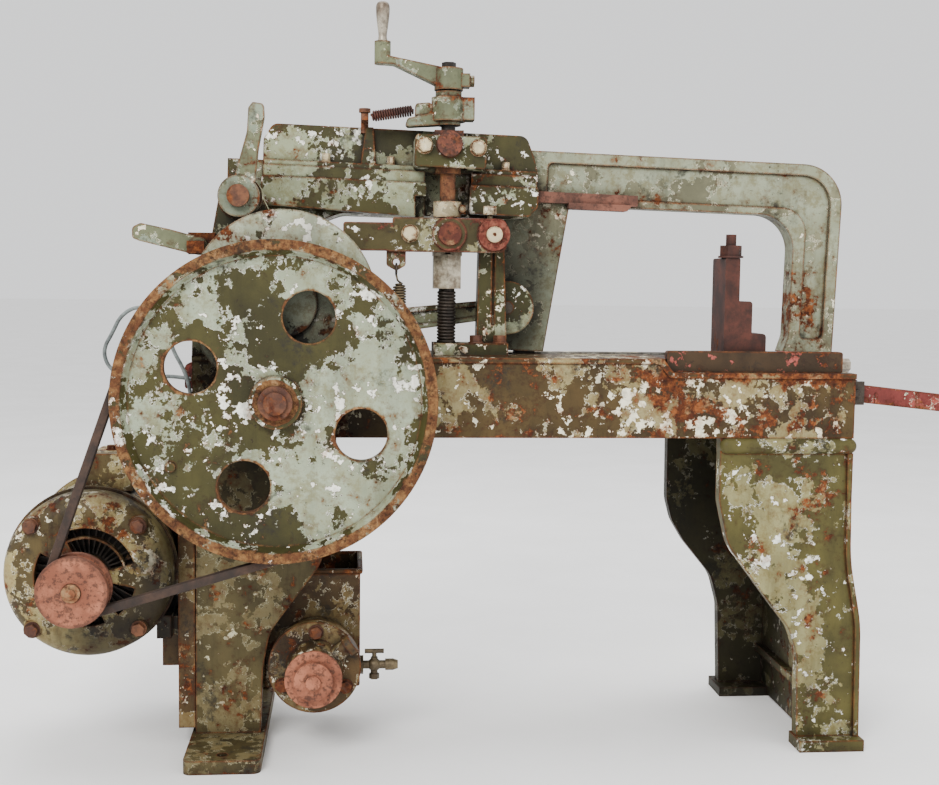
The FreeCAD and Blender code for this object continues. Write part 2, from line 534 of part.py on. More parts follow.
# ---------------------------------------------------------------- overarm and bow
def overarm():
    """Casting pivoted at its left end that guides the bow; its channel is open at the right end."""
    body = plate([(-34, 836), (-34, 946, 14), (-20, 970, 14), (374, 970, 16), (388, 936, 30),
                  (395, 912, 20), (395, 862, 12), (382, 843, 10), (343, 839), (90, 838, 40), (60, 826)],
                 100, 206)
    lug = fuse(rod_y(PIVOT_X, PIVOT_Z, 36, 100, 206), block(PIVOT_X, -20, 100, 206, 822, 884),
               block(-88, -30, 104, 190, 882, 914))
    body = fuse(body, lug)
    left_rail = plate([(-34, 844, 6), (-34, 888, 4), (218, 888, 4), (218, 835, 4)], 72, 102)
    left_step = block(-32, 216, 79, 102, 886, 906)
    right_rail = plate([(286, 844, 4), (286, 888, 4), (393, 888, 4), (393, 858, 10), (380, 843, 8)],
                       72, 102)
    right_step = block(288, 391, 79, 102, 886, 906)
    ledges = block(-32, 392, 86, 102, 905, 914)
    rails = fuse(left_rail, left_step, right_rail, right_step, ledges)
    rib = plate([(116, 906), (122, 970), (134, 970), (140, 906)], 88, 101)
    body = fuse(body, rails, rib)
    channel = block(60, 404, BOW_FRONT - CLEARANCE, BOW_BACK + CLEARANCE, 856, 951 + CLEARANCE)
    body = body.cut(channel)
    body = body.cut(block(300, 404, BOW_FRONT - CLEARANCE, BOW_BACK + CLEARANCE, 820, 900))
    body = tilted(body).cut(rod_y(PIVOT_X, PIVOT_Z, PIVOT_PIN_RADIUS + RUNNING_FIT, 90, 210))
    collar_room = block(SCREW_X - 49, SCREW_X, SCREW_Y, SCREW_Y + 30, 800, 860)
    body = body.cut(collar_room)
    node("overarm", body)
    bolts = [tilted(top_bolt(x, 92.3, 914, 11, 11, 2)) for x in (63, 163, 342)]
    bolts += [front_bolt(x, z, 28, 19, 9) for x, z in (on_arm(211, 940), on_arm(292, 940))]
    node("overarm_bolts", Part.makeCompound(bolts))


def guide_bars():
    """Wear strips on the overarm's end that steady the bow."""
    upper = block(395, 558, 108, BOW_FRONT - CLEARANCE, 869, 886)
    lower = plate([(446, 860, 3), (446, 870), (548, 870), (540, 860, 3)], 100, BOW_FRONT - CLEARANCE)
    node("guide_bar", tilted(fuse(upper, lower)))


def bow():
    """C-shaped saw bow with a slide tongue to the left, its blade, clamps and rod pin."""
    shape = plate([(150, 867), (150, 951), (900, 951, 66), (898, 645), (815, 645), (823, 672, 20),
                   (822, 867, 58), (451, 867), (419, 632), (320, 632), (352, 867)], BOW_FRONT, BOW_BACK)
    recess_front = plate([(414, 879, 8), (414, 933, 8), (881, 933, 48), (880, 668, 8), (842, 668, 8),
                          (842, 879, 40)], BOW_FRONT - 1, BOW_FRONT + 7)
    recess_back = recess_front.copy()
    recess_back.translate(vec(0, BOW_BACK - BOW_FRONT - 6, 0))
    shape = shape.cut(recess_front).cut(recess_back)
    shape = tilted(shape)
    shape = shape.cut(rod_y(ROD_PIN_X, ROD_PIN_Z, ROD_PIN_RADIUS, BOW_FRONT - 1, BOW_BACK + 1))
    node("saw_bow", shape)
    pin = rod_y(ROD_PIN_X, ROD_PIN_Z, ROD_PIN_RADIUS, 87.5, BOW_BACK)
    node("rod_pin", fuse(pin, rod_y(ROD_PIN_X, ROD_PIN_Z, 16, 122, BOW_FRONT)))
    left_x, left_z = on_arm(390, 632)
    right_x, right_z = on_arm(860, 645)
    clamps = []
    for x, z in ((left_x, left_z), (right_x, right_z)):
        clamp = block(x - 17, x + 17, BLADE_Y - 8, BLADE_Y + 8, 598, z + 0.4)
        clamps.append(clamp)
    blade = block(left_x - 14, right_x + 14, BLADE_Y - 1, BLADE_Y + 1, 594, BLADE_TOP)
    clamps = [clamp.cut(block(0, 900, BLADE_Y - 1, BLADE_Y + 1, 590, BLADE_TOP)) for clamp in clamps]
    clamps = [clamp.cut(NODES["saw_bow"]) for clamp in clamps]
    node("blade_clamps", Part.makeCompound([clamp.Solids[0] for clamp in clamps]))
    node("saw_blade", blade)


def connecting_rod():
    """I-section rod from the crank to the bow pin, with the crank pin that it carries."""
    across, rise = ROD_PIN_X - CRANK_PIN_X, ROD_PIN_Z - CRANK_PIN_Z
    length = math.hypot(across, rise)
    angle = math.degrees(math.atan2(rise, across))
    shank = plate([(20, -22), (20, 22), (length - 18, 15), (length - 18, -15)], 92, 116)
    pocket = plate([(52, -13, 4), (52, 13, 4), (length - 44, 8, 4), (length - 44, -8, 4)], 91, 98)
    back_pocket = pocket.copy()
    back_pocket.translate(vec(0, 19, 0))
    shank = shank.cut(pocket).cut(back_pocket)
    rod = fuse(shank, rod_y(0, 0, 36, 92, 116), rod_y(length, 0, 42, 88, 120))
    rod.rotate(vec(0, 0, 0), vec(0, 1, 0), -angle)
    rod.translate(vec(CRANK_PIN_X, 0, CRANK_PIN_Z))
    rod = rod.cut(rod_y(ROD_PIN_X, ROD_PIN_Z, ROD_PIN_RADIUS + RUNNING_FIT, 60, 130))
    rod = rod.cut(rod_y(CRANK_PIN_X, CRANK_PIN_Z, CRANK_PIN_RADIUS, 60, 130))
    node("connecting_rod", rod)
    pin = rod_y(CRANK_PIN_X, CRANK_PIN_Z, CRANK_PIN_RADIUS, 87, 120)
    node("crank_pin", fuse(pin, rod_y(CRANK_PIN_X, CRANK_PIN_Z, CRANK_PIN_RADIUS + 6, 116, 120)))


# ---------------------------------------------------------------- lift screw and levers
def upper_bracket():
    """Clamp block on the overarm that carries the screw's upper trunnion."""
    x, z = SCREW_X, UPPER_TRUNNION_Z
    body = plate([(197, 909, 4), (197, 957, 6), (305, 957, 6), (305, 909, 4)], 28, 92)
    body = fuse(body, block(200, 222, 88, 101, 911, 955), block(282, 303, 88, 101, 911, 955))
    body = tilted(body)
    body = body.cut(block(x - TRUNNION_SWING, x + TRUNNION_SWING, 34, 86, 880, 990))
    body = body.cut(rod_y(x, z, UPPER_TRUNNION_RADIUS + RUNNING_FIT, 20, 96))
    body = body.cut(NODES["overarm"])
    node("upper_bracket", body)
    trunnion = block(x - 22, x + 22, 35, 85, z - 28, z + 22)
    trunnion = fuse(trunnion, rod_y(x, z, UPPER_TRUNNION_RADIUS, 18, 94))
    node("upper_trunnion", trunnion.cut(rod_z(x, SCREW_Y, SCREW_NECK_RADIUS + RUNNING_FIT, z - 60, z + 60)))


def lift_screw():
    """Feed screw with its stop collar, crank arm, grip and pinch bolt."""
    x, y = SCREW_X, SCREW_Y
    shoulder_top = UPPER_TRUNNION_Z - 29
    screw = fuse(rod_z(x, y, THREAD_ROOT_RADIUS, 628, 721), rod_z(x, y, SCREW_RADIUS, 720, 851),
                 rod_z(x, y, 12, 851, shoulder_top),
                 rod_z(x, y, 20, 893, shoulder_top), rod_z(x, y, SCREW_NECK_RADIUS, shoulder_top - 1, 1052),
                 regular_prism(vec(x, y, 1052), vec(0, 0, 1), 19, 9))
    for turn in range(17):
        screw = screw.fuse(Part.makeTorus(THREAD_ROOT_RADIUS, 2.2, vec(x, y, 632 + THREAD_PITCH * turn)))
    node("lift_screw", screw)
    collar = fuse(rod_z(x, y, 21.5, 827, 851), block(x + 12, x + 27, y - 12, y + 2, 832, 846))
    collar = fuse(collar, rod_y(x + 22, 839, 5, y - 15, y - 2))
    node("stop_collar", collar.cut(rod_z(x, y, SCREW_RADIUS, 820, 860)))
    hub = rod_z(x, y, 22, 1019, 1052)
    tip_x = 150.0
    arm = plate([(tip_x, 1056), (tip_x, 1068), (tip_x + 13, 1067, 6), (x, 1051), (x, 1021),
                 (x - 22, 1027, 8), (tip_x + 17, 1055, 10)], y - 11, y + 11)
    boss = rod_z(tip_x, y, 12.3, 1056, 1090)
    ear = block(x + 14, x + 32, y - 12, y + 12, 1024, 1044)
    crank = fuse(hub, arm, boss, ear).cut(rod_z(x, y, SCREW_NECK_RADIUS + 0.02, 1010, 1053))
    node("feed_crank", fuse(crank, regular_prism(vec(x + 31, y, 1034), vec(1, 0, 0), 15, 8)))
    profile = [(0, 1090), (8, 1090), (6.5, 1096), (7.5, 1108), (9.5, 1124), (10.5, 1138), (9, 1146),
               (5, 1149), (0, 1149)]
    points = [vec(tip_x + radius, y, z) for radius, z in profile]
    curve = Part.BSplineCurve()
    curve.interpolate(points[1:-1])
    wire = Part.Wire([Part.LineSegment(points[0], points[1]).toShape(), curve.toShape(),
                      Part.LineSegment(points[-2], points[-1]).toShape(),
                      Part.LineSegment(points[-1], points[0]).toShape()])
    grip = Part.Face(wire).revolve(vec(tip_x, y, 0), vec(0, 0, 1), 360)
    node("feed_grip", grip)


def feed_arm():
    """Friction arm around the screw's neck, with its return spring and anchor pin."""
    x, y = SCREW_X, SCREW_Y
    hub = fuse(rod_z(x, y, 26, 972, 1008), rod_z(x, y, 20, 1008, 1017), rod_z(x, y, 19, 966, 972))
    arm = plate([(184, 962, 5), (188, 975, 5), (x, 990), (x, 967)], y - 12, y + 12)
    hook = plate([(200, 980), (200, 998, 5), (222, 1000, 5), (240, 984)], y - 7, y + 7)
    lug = block(x + 14, x + 39, y - 15, y + 15, 974, 1008)
    body = fuse(hub, arm, hook, lug).cut(rod_z(x, y, SCREW_NECK_RADIUS + RUNNING_FIT, 950, 1020))
    node("feed_arm", body)
    start, end = vec(132, 62, 976), vec(198, y, 990)
    node("feed_spring", coil(132, 62, 976, end - start, (end - start).Length, 8.5, 3.4))
    pin = fuse(rod_z(124, 98, 6, 956, 988), rod_z(124, 98, 9, 988, 994), block(119, 129, 58, 99, 972, 981))
    node("spring_anchor", pin.cut(NODES["overarm"]))


def screw_post():
    """Post on the bed that carries the relief lever's pivot."""
    base = block(230, 345, 34, 86, BED_TOP, POST_BASE_TOP)
    stem = plate([(298, POST_BASE_TOP - 4), (301, 824, 8), (338, 824, 8), (345, POST_BASE_TOP - 4)], 56, 86)
    web_cut = block(321, 325, 50, 60, 662, 778)
    boss = rod_y(LEVER_PIVOT_X, LOWER_TRUNNION_Z, 22, 54, 86)
    post = fuse(base, stem.cut(web_cut), boss)
    post = post.cut(rod_z(SCREW_X, SCREW_Y, SCREW_RADIUS + 8, BED_TOP + 6, POST_BASE_TOP + 1))
    post = post.cut(rod_y(LEVER_PIVOT_X, LOWER_TRUNNION_Z, LEVER_PIN_RADIUS, 20, 90))
    node("screw_post", post)
    pin = fuse(rod_y(LEVER_PIVOT_X, LOWER_TRUNNION_Z, LEVER_PIN_RADIUS, -3, 88),
               rod_y(LEVER_PIVOT_X, LOWER_TRUNNION_Z, LEVER_PIN_RADIUS + 4, -3, 3))
    pad = plate([(-134, 764), (-113, 764), (-98, 784), (-94, 796), (-134, 796)], -4, 0)
    head = block(HAND_LEVER_X - 15, HAND_LEVER_X + 10, -30, -22.5, HAND_LEVER_Z - 11, HAND_LEVER_Z + 7)
    stud = fuse(rod_y(HAND_LEVER_X, HAND_LEVER_Z, HAND_LEVER_PIN_RADIUS, -24, -4), head, pad)
    node("lever_pins", Part.makeCompound([pin, stud]))


def relief_lever():
    """Forked lever that carries the lift nut and is pulled down by the lower spring."""
    x, z = SCREW_X, LOWER_TRUNNION_Z
    body = plate([(92, 774, 4), (92, 816, 4), (166, 816), (166, 824, 3), (338, 824, 12), (338, 773, 12),
                  (160, 773), (160, 774)], 12, 36)
    back_cheek = plate([(200, 776, 4), (200, 820, 4), (290, 820, 4), (290, 776, 4)], 78, 86)
    bridge = block(200, 222, 36, 78, 778, 818)
    body = fuse(body, back_cheek, bridge, rod_y(x, z, 25, 6, 36), rod_y(LEVER_PIVOT_X, z, 24, 4, 50))
    body = body.cut(rod_y(x, z, LOWER_TRUNNION_RADIUS + RUNNING_FIT, 0, 100))
    body = body.cut(rod_y(LEVER_PIVOT_X, z, LEVER_PIN_RADIUS + RUNNING_FIT, 0, 60))
    ear = plate([(157, 776), (157, 752, 6), (172, 744, 6), (186, 752, 6), (186, 776)], 18, 28)
    body = fuse(body, ear).cut(rod_y(172, 757, 5, 10, 40))
    node("relief_lever", body)
    oiler = fuse(rod_z(313, 24, 4, 824, 830), rod_z(313, 24, 10, 830, 843))
    node("lever_fittings", Part.makeCompound([front_bolt(192, z, 12, 20, 9), oiler]))
    nut = fuse(rod_y(x, z, LOWER_TRUNNION_RADIUS, 0, 86), block(x - 22, x + 22, 42, 76, z - 32, z + 20),
               regular_prism(vec(x, SCREW_Y, 718), vec(0, 0, 1), 42, 52, turn=math.pi / 6))
    node("lift_nut", nut.cut(rod_z(x, SCREW_Y, SCREW_RADIUS + NUT_CLEARANCE, 700, 830)))
    spring = coil(172, 23, BED_TOP + 0.5, vec(0, 0, 1), 119, 10.5, 3.6)
    hook = Part.makeTorus(11, 1.7, vec(172, 23, 746), vec(1, 0, 0))
    node("relief_spring", fuse(spring, hook))


def hand_levers():
    """Long hand lever at the drive end and the pivot lever on the overarm's pin."""
    lever = plate([(-212, 786, 5), (-212, 802, 7), (-200, 808, 7), (-160, 800, 30), (-106, 786, 6),
                   (-110, 768, 8), (-130, 765, 8), (-202, 782, 5)], -20, -4.5)
    eye = rod_y(HAND_LEVER_X, HAND_LEVER_Z, 13, -22, -4.5)
    bore = rod_y(HAND_LEVER_X, HAND_LEVER_Z, HAND_LEVER_PIN_RADIUS + RUNNING_FIT, -30, 4)
    node("hand_lever", fuse(lever, eye).cut(bore))
    eye = rod_y(PIVOT_X, PIVOT_Z, 30, -40, -22)
    lever = plate([(-66, 868), (-46, 940, 40), (-44, 974, 6), (-38, 982, 3), (-22, 980, 5), (-21, 962, 8),
                   (-30, 914, 40), (-34, 868)], -38, -24)
    bore = rod_y(PIVOT_X, PIVOT_Z, PIVOT_STUD_RADIUS + RUNNING_FIT, -50, -20)
    node("pivot_lever", fuse(eye, lever).cut(bore))


# ---------------------------------------------------------------- vise
def vise():
    """Vise base with its screw and stepped jaw, and the clamp lever on the bed's end."""
    base = block(585, 868, 8, 230, VISE_SEAT_Z, VISE_TOP)
    upright = [edge for edge in base.Edges if edge.BoundBox.ZLength > 10]
    base = base.makeFillet(14, upright)
    rail = plate([(588, VISE_SEAT_Z, 10), (588, VISE_TOP + 13, 4), (866, VISE_TOP + 13, 4),
                  (866, VISE_SEAT_Z, 4)], 8, 24)
    base = fuse(base, rail)
    base = base.cut(block(560, 900, BLADE_Y - SLOT_HALF_WIDTH, BLADE_Y + SLOT_HALF_WIDTH, 590, 640))
    base = base.cut(block(604, 850, JAW_SCREW_Y - 13, JAW_SCREW_Y + 13, VISE_SEAT_Z - 1, 640))
    base = base.cut(rod_x(JAW_SCREW_Y, JAW_SCREW_Z, JAW_SCREW_RADIUS + RUNNING_FIT, 580, 880))
    node("vise_base", Part.makeCompound(base.Solids))
    screw = fuse(rod_x(JAW_SCREW_Y, JAW_SCREW_Z, JAW_SCREW_RADIUS, 592, 890),
                 rod_x(JAW_SCREW_Y, JAW_SCREW_Z, 8.5, 869, 876),
                 regular_prism(vec(BED_RIGHT + 1, JAW_SCREW_Y, JAW_SCREW_Z), vec(1, 0, 0), 19, 14))
    node("vise_screw", screw)
    low = VISE_TOP + 0.4
    jaw = plate([(681, low), (681, 771, 3), (704, 771, 3), (704, 704), (725, 704, 5), (725, 654),
                 (748, 654, 6), (748, low)], 25, 98)
    tongue = block(690, 722, JAW_SCREW_Y - 10, JAW_SCREW_Y + 10, VISE_SEAT_Z + 1, low)
    jaw = fuse(jaw, tongue).cut(rod_x(JAW_SCREW_Y, JAW_SCREW_Z, JAW_SCREW_RADIUS + RUNNING_FIT, 670, 760))
    jaw = jaw.cut(rod_z(692.5, 40, 8, 700, 780))
    node("vise_jaw", jaw)
    nut = fuse(rod_z(692.5, 40, 19.5, 771, 774), regular_prism(vec(692.5, 40, 774), vec(0, 0, 1), 30, 16))
    node("jaw_stud", fuse(rod_z(692.5, 40, 8, 700, 807), nut))
    lugs = fuse(block(BED_RIGHT, 911, 29, 37, 543, 580), block(BED_RIGHT, 911, 59, 67, 543, 580))
    lugs = fuse(lugs, rod_y(CLAMP_X, CLAMP_Z, CLAMP_PIN_RADIUS, 25, 71))
    node("clamp_lever_bracket", lugs)
    lever = plate([(CLAMP_X, CLAMP_Z - 14), (CLAMP_X, CLAMP_Z + 14), (1046, 559, 1), (1043, 532, 1)],
                  38, 58)
    lever = fuse(lever, rod_y(CLAMP_X, CLAMP_Z, 14, 38, 58))
    straps = [block(x, x + 4, 36.5, 39, 545, 561) for x in (932, 1000)]
    lever = fuse(lever, *straps).cut(rod_y(CLAMP_X, CLAMP_Z, CLAMP_PIN_RADIUS + RUNNING_FIT, 20, 80))
    node("clamp_lever", lever)


# ---------------------------------------------------------------- coolant
def coolant():
    """Coolant tank with its pump, pulley and drain cock."""
    tank = block(-30, 121, 92, 232, 82, 273).cut(block(-25, 116, 97, 227, 90, 274))
    rim = block(-34, 125, 88, 236, 266, 273).cut(block(-25, 116, 97, 227, 260, 280))
    node("coolant_tank", fuse(tank, rim))
    body = fuse(rod_y(PUMP_X, PUMP_Z, 62, 36, 92), rod_y(PUMP_X, PUMP_Z, 71, 20, 36))
    direction = vec(math.cos(math.radians(35)), 0, math.sin(math.radians(35)))
    centre = vec(PUMP_X, 11, PUMP_Z)
    port = Part.makeCylinder(12, 48, centre + direction * 18, direction)
    cap = Part.makeCylinder(15.5, 12, centre + direction * 60, direction)
    nose = Part.makeCone(44, 30, 44, vec(PUMP_X, 20, PUMP_Z), vec(0, -1, 0))
    body = fuse(body, port, cap, nose)
    body = body.cut(rod_y(PUMP_X, PUMP_Z, PUMP_SHAFT_RADIUS + RUNNING_FIT, -40, 80))
    node("pump_body", body)
    pulley = fuse(rod_y(PUMP_X, PUMP_Z, 43, -44, -38), rod_y(PUMP_X, PUMP_Z, 29, -56, -28))
    pulley = fuse(pulley, rod_y(PUMP_X, PUMP_Z, 38, -38, -34))
    node("pump_pulley", fuse(pulley, rod_y(PUMP_X, PUMP_Z, PUMP_SHAFT_RADIUS, -62, 72)))
    cock = fuse(regular_prism(vec(112, 50, 130), vec(1, 0, 0), 26, 14), rod_x(50, 130, 6.5, 126, 180),
                Part.makeSphere(10.5, vec(143, 50, 130)), rod_x(50, 130, 9, 160, 172),
                Part.makeCone(9, 6.5, 8, vec(172, 50, 130), vec(1, 0, 0)), rod_z(143, 50, 5.5, 114, 142),
                regular_prism(vec(143, 50, 108), vec(0, 0, 1), 14, 8))
    cock = cock.cut(rod_z(143, 50, 3.5 + RUNNING_FIT, 122, 160)).cut(NODES["pump_body"])
    node("drain_cock", cock)
    handle = fuse(rod_z(143, 50, 3.5, 124, 154), rod_x(50, 151.5, 3.6, 128, 158))
    node("cock_handle", handle)


def write_nodes():
    os.makedirs("parts", exist_ok=True)
    low, high = [1e9] * 3, [-1e9] * 3
    for name, shape in NODES.items():
        moved = shape.copy()
        moved.translate(vec(DRAWING_TO_FRAME_X, DRAWING_TO_FRAME_Y, 0))
        if moved.ShapeType != "Solid" and len(moved.Solids) == 1:
            moved = moved.Solids[0]
        moved.exportStep("parts/%s.step" % name)
        box = moved.BoundBox
        low = [min(a, b) for a, b in zip(low, (box.XMin, box.YMin, box.ZMin))]
        high = [max(a, b) for a, b in zip(high, (box.XMax, box.YMax, box.ZMax))]
    print(len(NODES), "nodes, low corner", [round(value, 1) for value in low],
          "high corner", [round(value, 1) for value in high])


bed()
left_leg()
right_legs()
pedestals()
bearings()
gear_guard()
flywheel()
gears()
belt()
motor()
wiring()
overarm()
guide_bars()
bow()
connecting_rod()
upper_bracket()
lift_screw()
feed_arm()
screw_post()
relief_lever()
hand_levers()
vise()
coolant()
write_nodes()
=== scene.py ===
import json
import math

import bmesh
import bpy
from mathutils import Matrix, Vector


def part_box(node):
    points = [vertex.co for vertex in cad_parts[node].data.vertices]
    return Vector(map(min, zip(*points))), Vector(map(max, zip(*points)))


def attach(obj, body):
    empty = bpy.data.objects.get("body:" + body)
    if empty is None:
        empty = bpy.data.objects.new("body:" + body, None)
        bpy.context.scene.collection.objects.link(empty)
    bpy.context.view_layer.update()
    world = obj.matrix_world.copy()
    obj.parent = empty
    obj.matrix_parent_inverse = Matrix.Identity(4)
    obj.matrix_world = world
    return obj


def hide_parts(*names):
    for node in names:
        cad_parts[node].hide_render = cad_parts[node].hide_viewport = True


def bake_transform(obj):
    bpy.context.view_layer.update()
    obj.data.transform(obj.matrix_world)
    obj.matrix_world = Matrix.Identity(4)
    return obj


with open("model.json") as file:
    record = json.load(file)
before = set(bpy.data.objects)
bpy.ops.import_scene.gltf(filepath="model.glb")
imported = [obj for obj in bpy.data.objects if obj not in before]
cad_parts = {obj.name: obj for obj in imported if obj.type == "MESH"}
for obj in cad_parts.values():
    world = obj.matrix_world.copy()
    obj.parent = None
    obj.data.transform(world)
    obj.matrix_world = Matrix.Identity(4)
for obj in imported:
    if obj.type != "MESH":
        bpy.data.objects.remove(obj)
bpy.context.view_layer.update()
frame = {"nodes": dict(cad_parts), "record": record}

# ---------------------------------------------------------------- camera
CAMERA_PLACE = Vector((-0.2152, -2.049, 0.724))
CAMERA_YAW = math.radians(5.24)
CAMERA_PITCH = math.radians(4.71)
CAMERA_ROLL = math.radians(0.7)
CAMERA_LENS = 50.0
CAMERA_SENSOR = 36.0
CAMERA_REACH = 50.0


def add_camera():
    """Camera a little left of the machine's middle and slightly above it, looking along +Y."""
    yaw, pitch, roll = CAMERA_YAW, CAMERA_PITCH, CAMERA_ROLL
    forward = Vector((math.sin(yaw) * math.cos(pitch), math.cos(yaw) * math.cos(pitch), -math.sin(pitch)))
    level_right = Vector((math.cos(yaw), -math.sin(yaw), 0.0))
    level_up = level_right.cross(forward)
    right = level_right * math.cos(roll) + level_up * math.sin(roll)
    up = level_up * math.cos(roll) - level_right * math.sin(roll)
    data = bpy.data.cameras.new("camera")
    data.lens = CAMERA_LENS
    data.sensor_width = CAMERA_SENSOR
    data.clip_end = CAMERA_REACH
    camera = bpy.data.objects.new("camera", data)
    bpy.context.scene.collection.objects.link(camera)
    turned = Matrix((right, up, -forward)).transposed().to_4x4()
    camera.matrix_world = Matrix.Translation(CAMERA_PLACE) @ turned
    bpy.context.scene.camera = camera


add_camera()

# ---------------------------------------------------------------- mesh helpers
WELD_DISTANCE = 0.00002
SHARP_ANGLE = math.radians(32.0)


def link_mesh(name, mesh_builder, body, material):
    """Turn a bmesh into an object that rides on a body, or on none if no body is given."""
    mesh = bpy.data.meshes.new(name)
    mesh_builder.normal_update()
    mesh_builder.to_mesh(mesh)
    mesh_builder.free()
    piece = bpy.data.objects.new(name, mesh)
    bpy.context.scene.collection.objects.link(piece)
    for polygon in mesh.polygons:
        polygon.use_smooth = True
    mesh.materials.append(material)
    if body:
        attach(piece, body)
    return piece


def add_bevel(piece, width):
    """Round the sharp edges of a mesh, and shade it smoothly between them."""
    weld = piece.modifiers.new("weld", "WELD")
    weld.merge_threshold = WELD_DISTANCE
    bevel = piece.modifiers.new("rounding", "BEVEL")
    bevel.width = width
    bevel.segments = 2
    bevel.limit_method = "ANGLE"
    bevel.angle_limit = SHARP_ANGLE
    bevel.use_clamp_overlap = True
    bevel.harden_normals = False
    smooth = piece.modifiers.new("smooth_faces", "WEIGHTED_NORMAL")
    smooth.keep_sharp = False


def sweep(path, radius, sides=8):
    """Round tube along a list of points, closed by a flat face at each end."""
    builder = bmesh.new()
    rings = []
    count = len(path)
    side = Vector((0.0, 1.0, 0.0))
    for index, place in enumerate(path):
        before = path[max(index - 1, 0)]
        after = path[min(index + 1, count - 1)]
        along = (after - before).normalized()
        side = (side - along * side.dot(along)).normalized()
        up = along.cross(side)
        rings.append([builder.verts.new(place + (side * math.cos(turn) + up * math.sin(turn)) * radius)
                      for turn in (2 * math.pi * step / sides for step in range(sides))])
    for one, two in zip(rings, rings[1:]):
        for step in range(sides):
            following = (step + 1) % sides
            builder.faces.new((one[step], one[following], two[following], two[step]))
    builder.faces.new(list(reversed(rings[0])))
    builder.faces.new(rings[-1])
    bmesh.ops.recalc_face_normals(builder, faces=builder.faces)
    return builder


# ---------------------------------------------------------------- colours
def srgb(red, green, blue):
    """Linear colour from everyday 0 to 255 values."""
    def linear(value):
        value /= 255.0
        return value / 12.92 if value <= 0.04045 else ((value + 0.055) / 1.055) ** 2.4
    return (linear(red), linear(green), linear(blue), 1.0)


def dimmed(colour, shares):
    """A colour with its red, green and blue cut down to shares of themselves."""
    return tuple(share * value for share, value in zip(shares, colour)) + (1.0,)


OLIVE = srgb(60, 57, 25)
BLUE_GREY = srgb(152, 160, 132)
CREAM = srgb(236, 230, 202)
WHITE = srgb(242, 242, 228)
PINK = srgb(164, 84, 76)
# Colour of sooty patches, which in tight corners is painted shade.
SOOT_AND_SHADE = srgb(30, 27, 22)
RUST_BROWN = srgb(76, 38, 22)
RUST_ORANGE = srgb(138, 80, 42)
RUST_PALE = srgb(150, 118, 82)
RUST_DARK = srgb(36, 22, 15)
RUST_STAIN = srgb(176, 118, 82)
# Colour of dirt on paint, also used for painted shade in its corners.
PAINT_GRIME_AND_SHADE = srgb(78, 62, 42)
# Colour of painted shade in the corners of bare metal.
METAL_CORNER_SHADE = srgb(96, 80, 64)
SHADE = srgb(66, 61, 51)


# ---------------------------------------------------------------- material helpers
# Sockets of a colour Mix node, which have no names of their own.
MIX_FIRST, MIX_SECOND, MIX_RESULT = 6, 7, 2


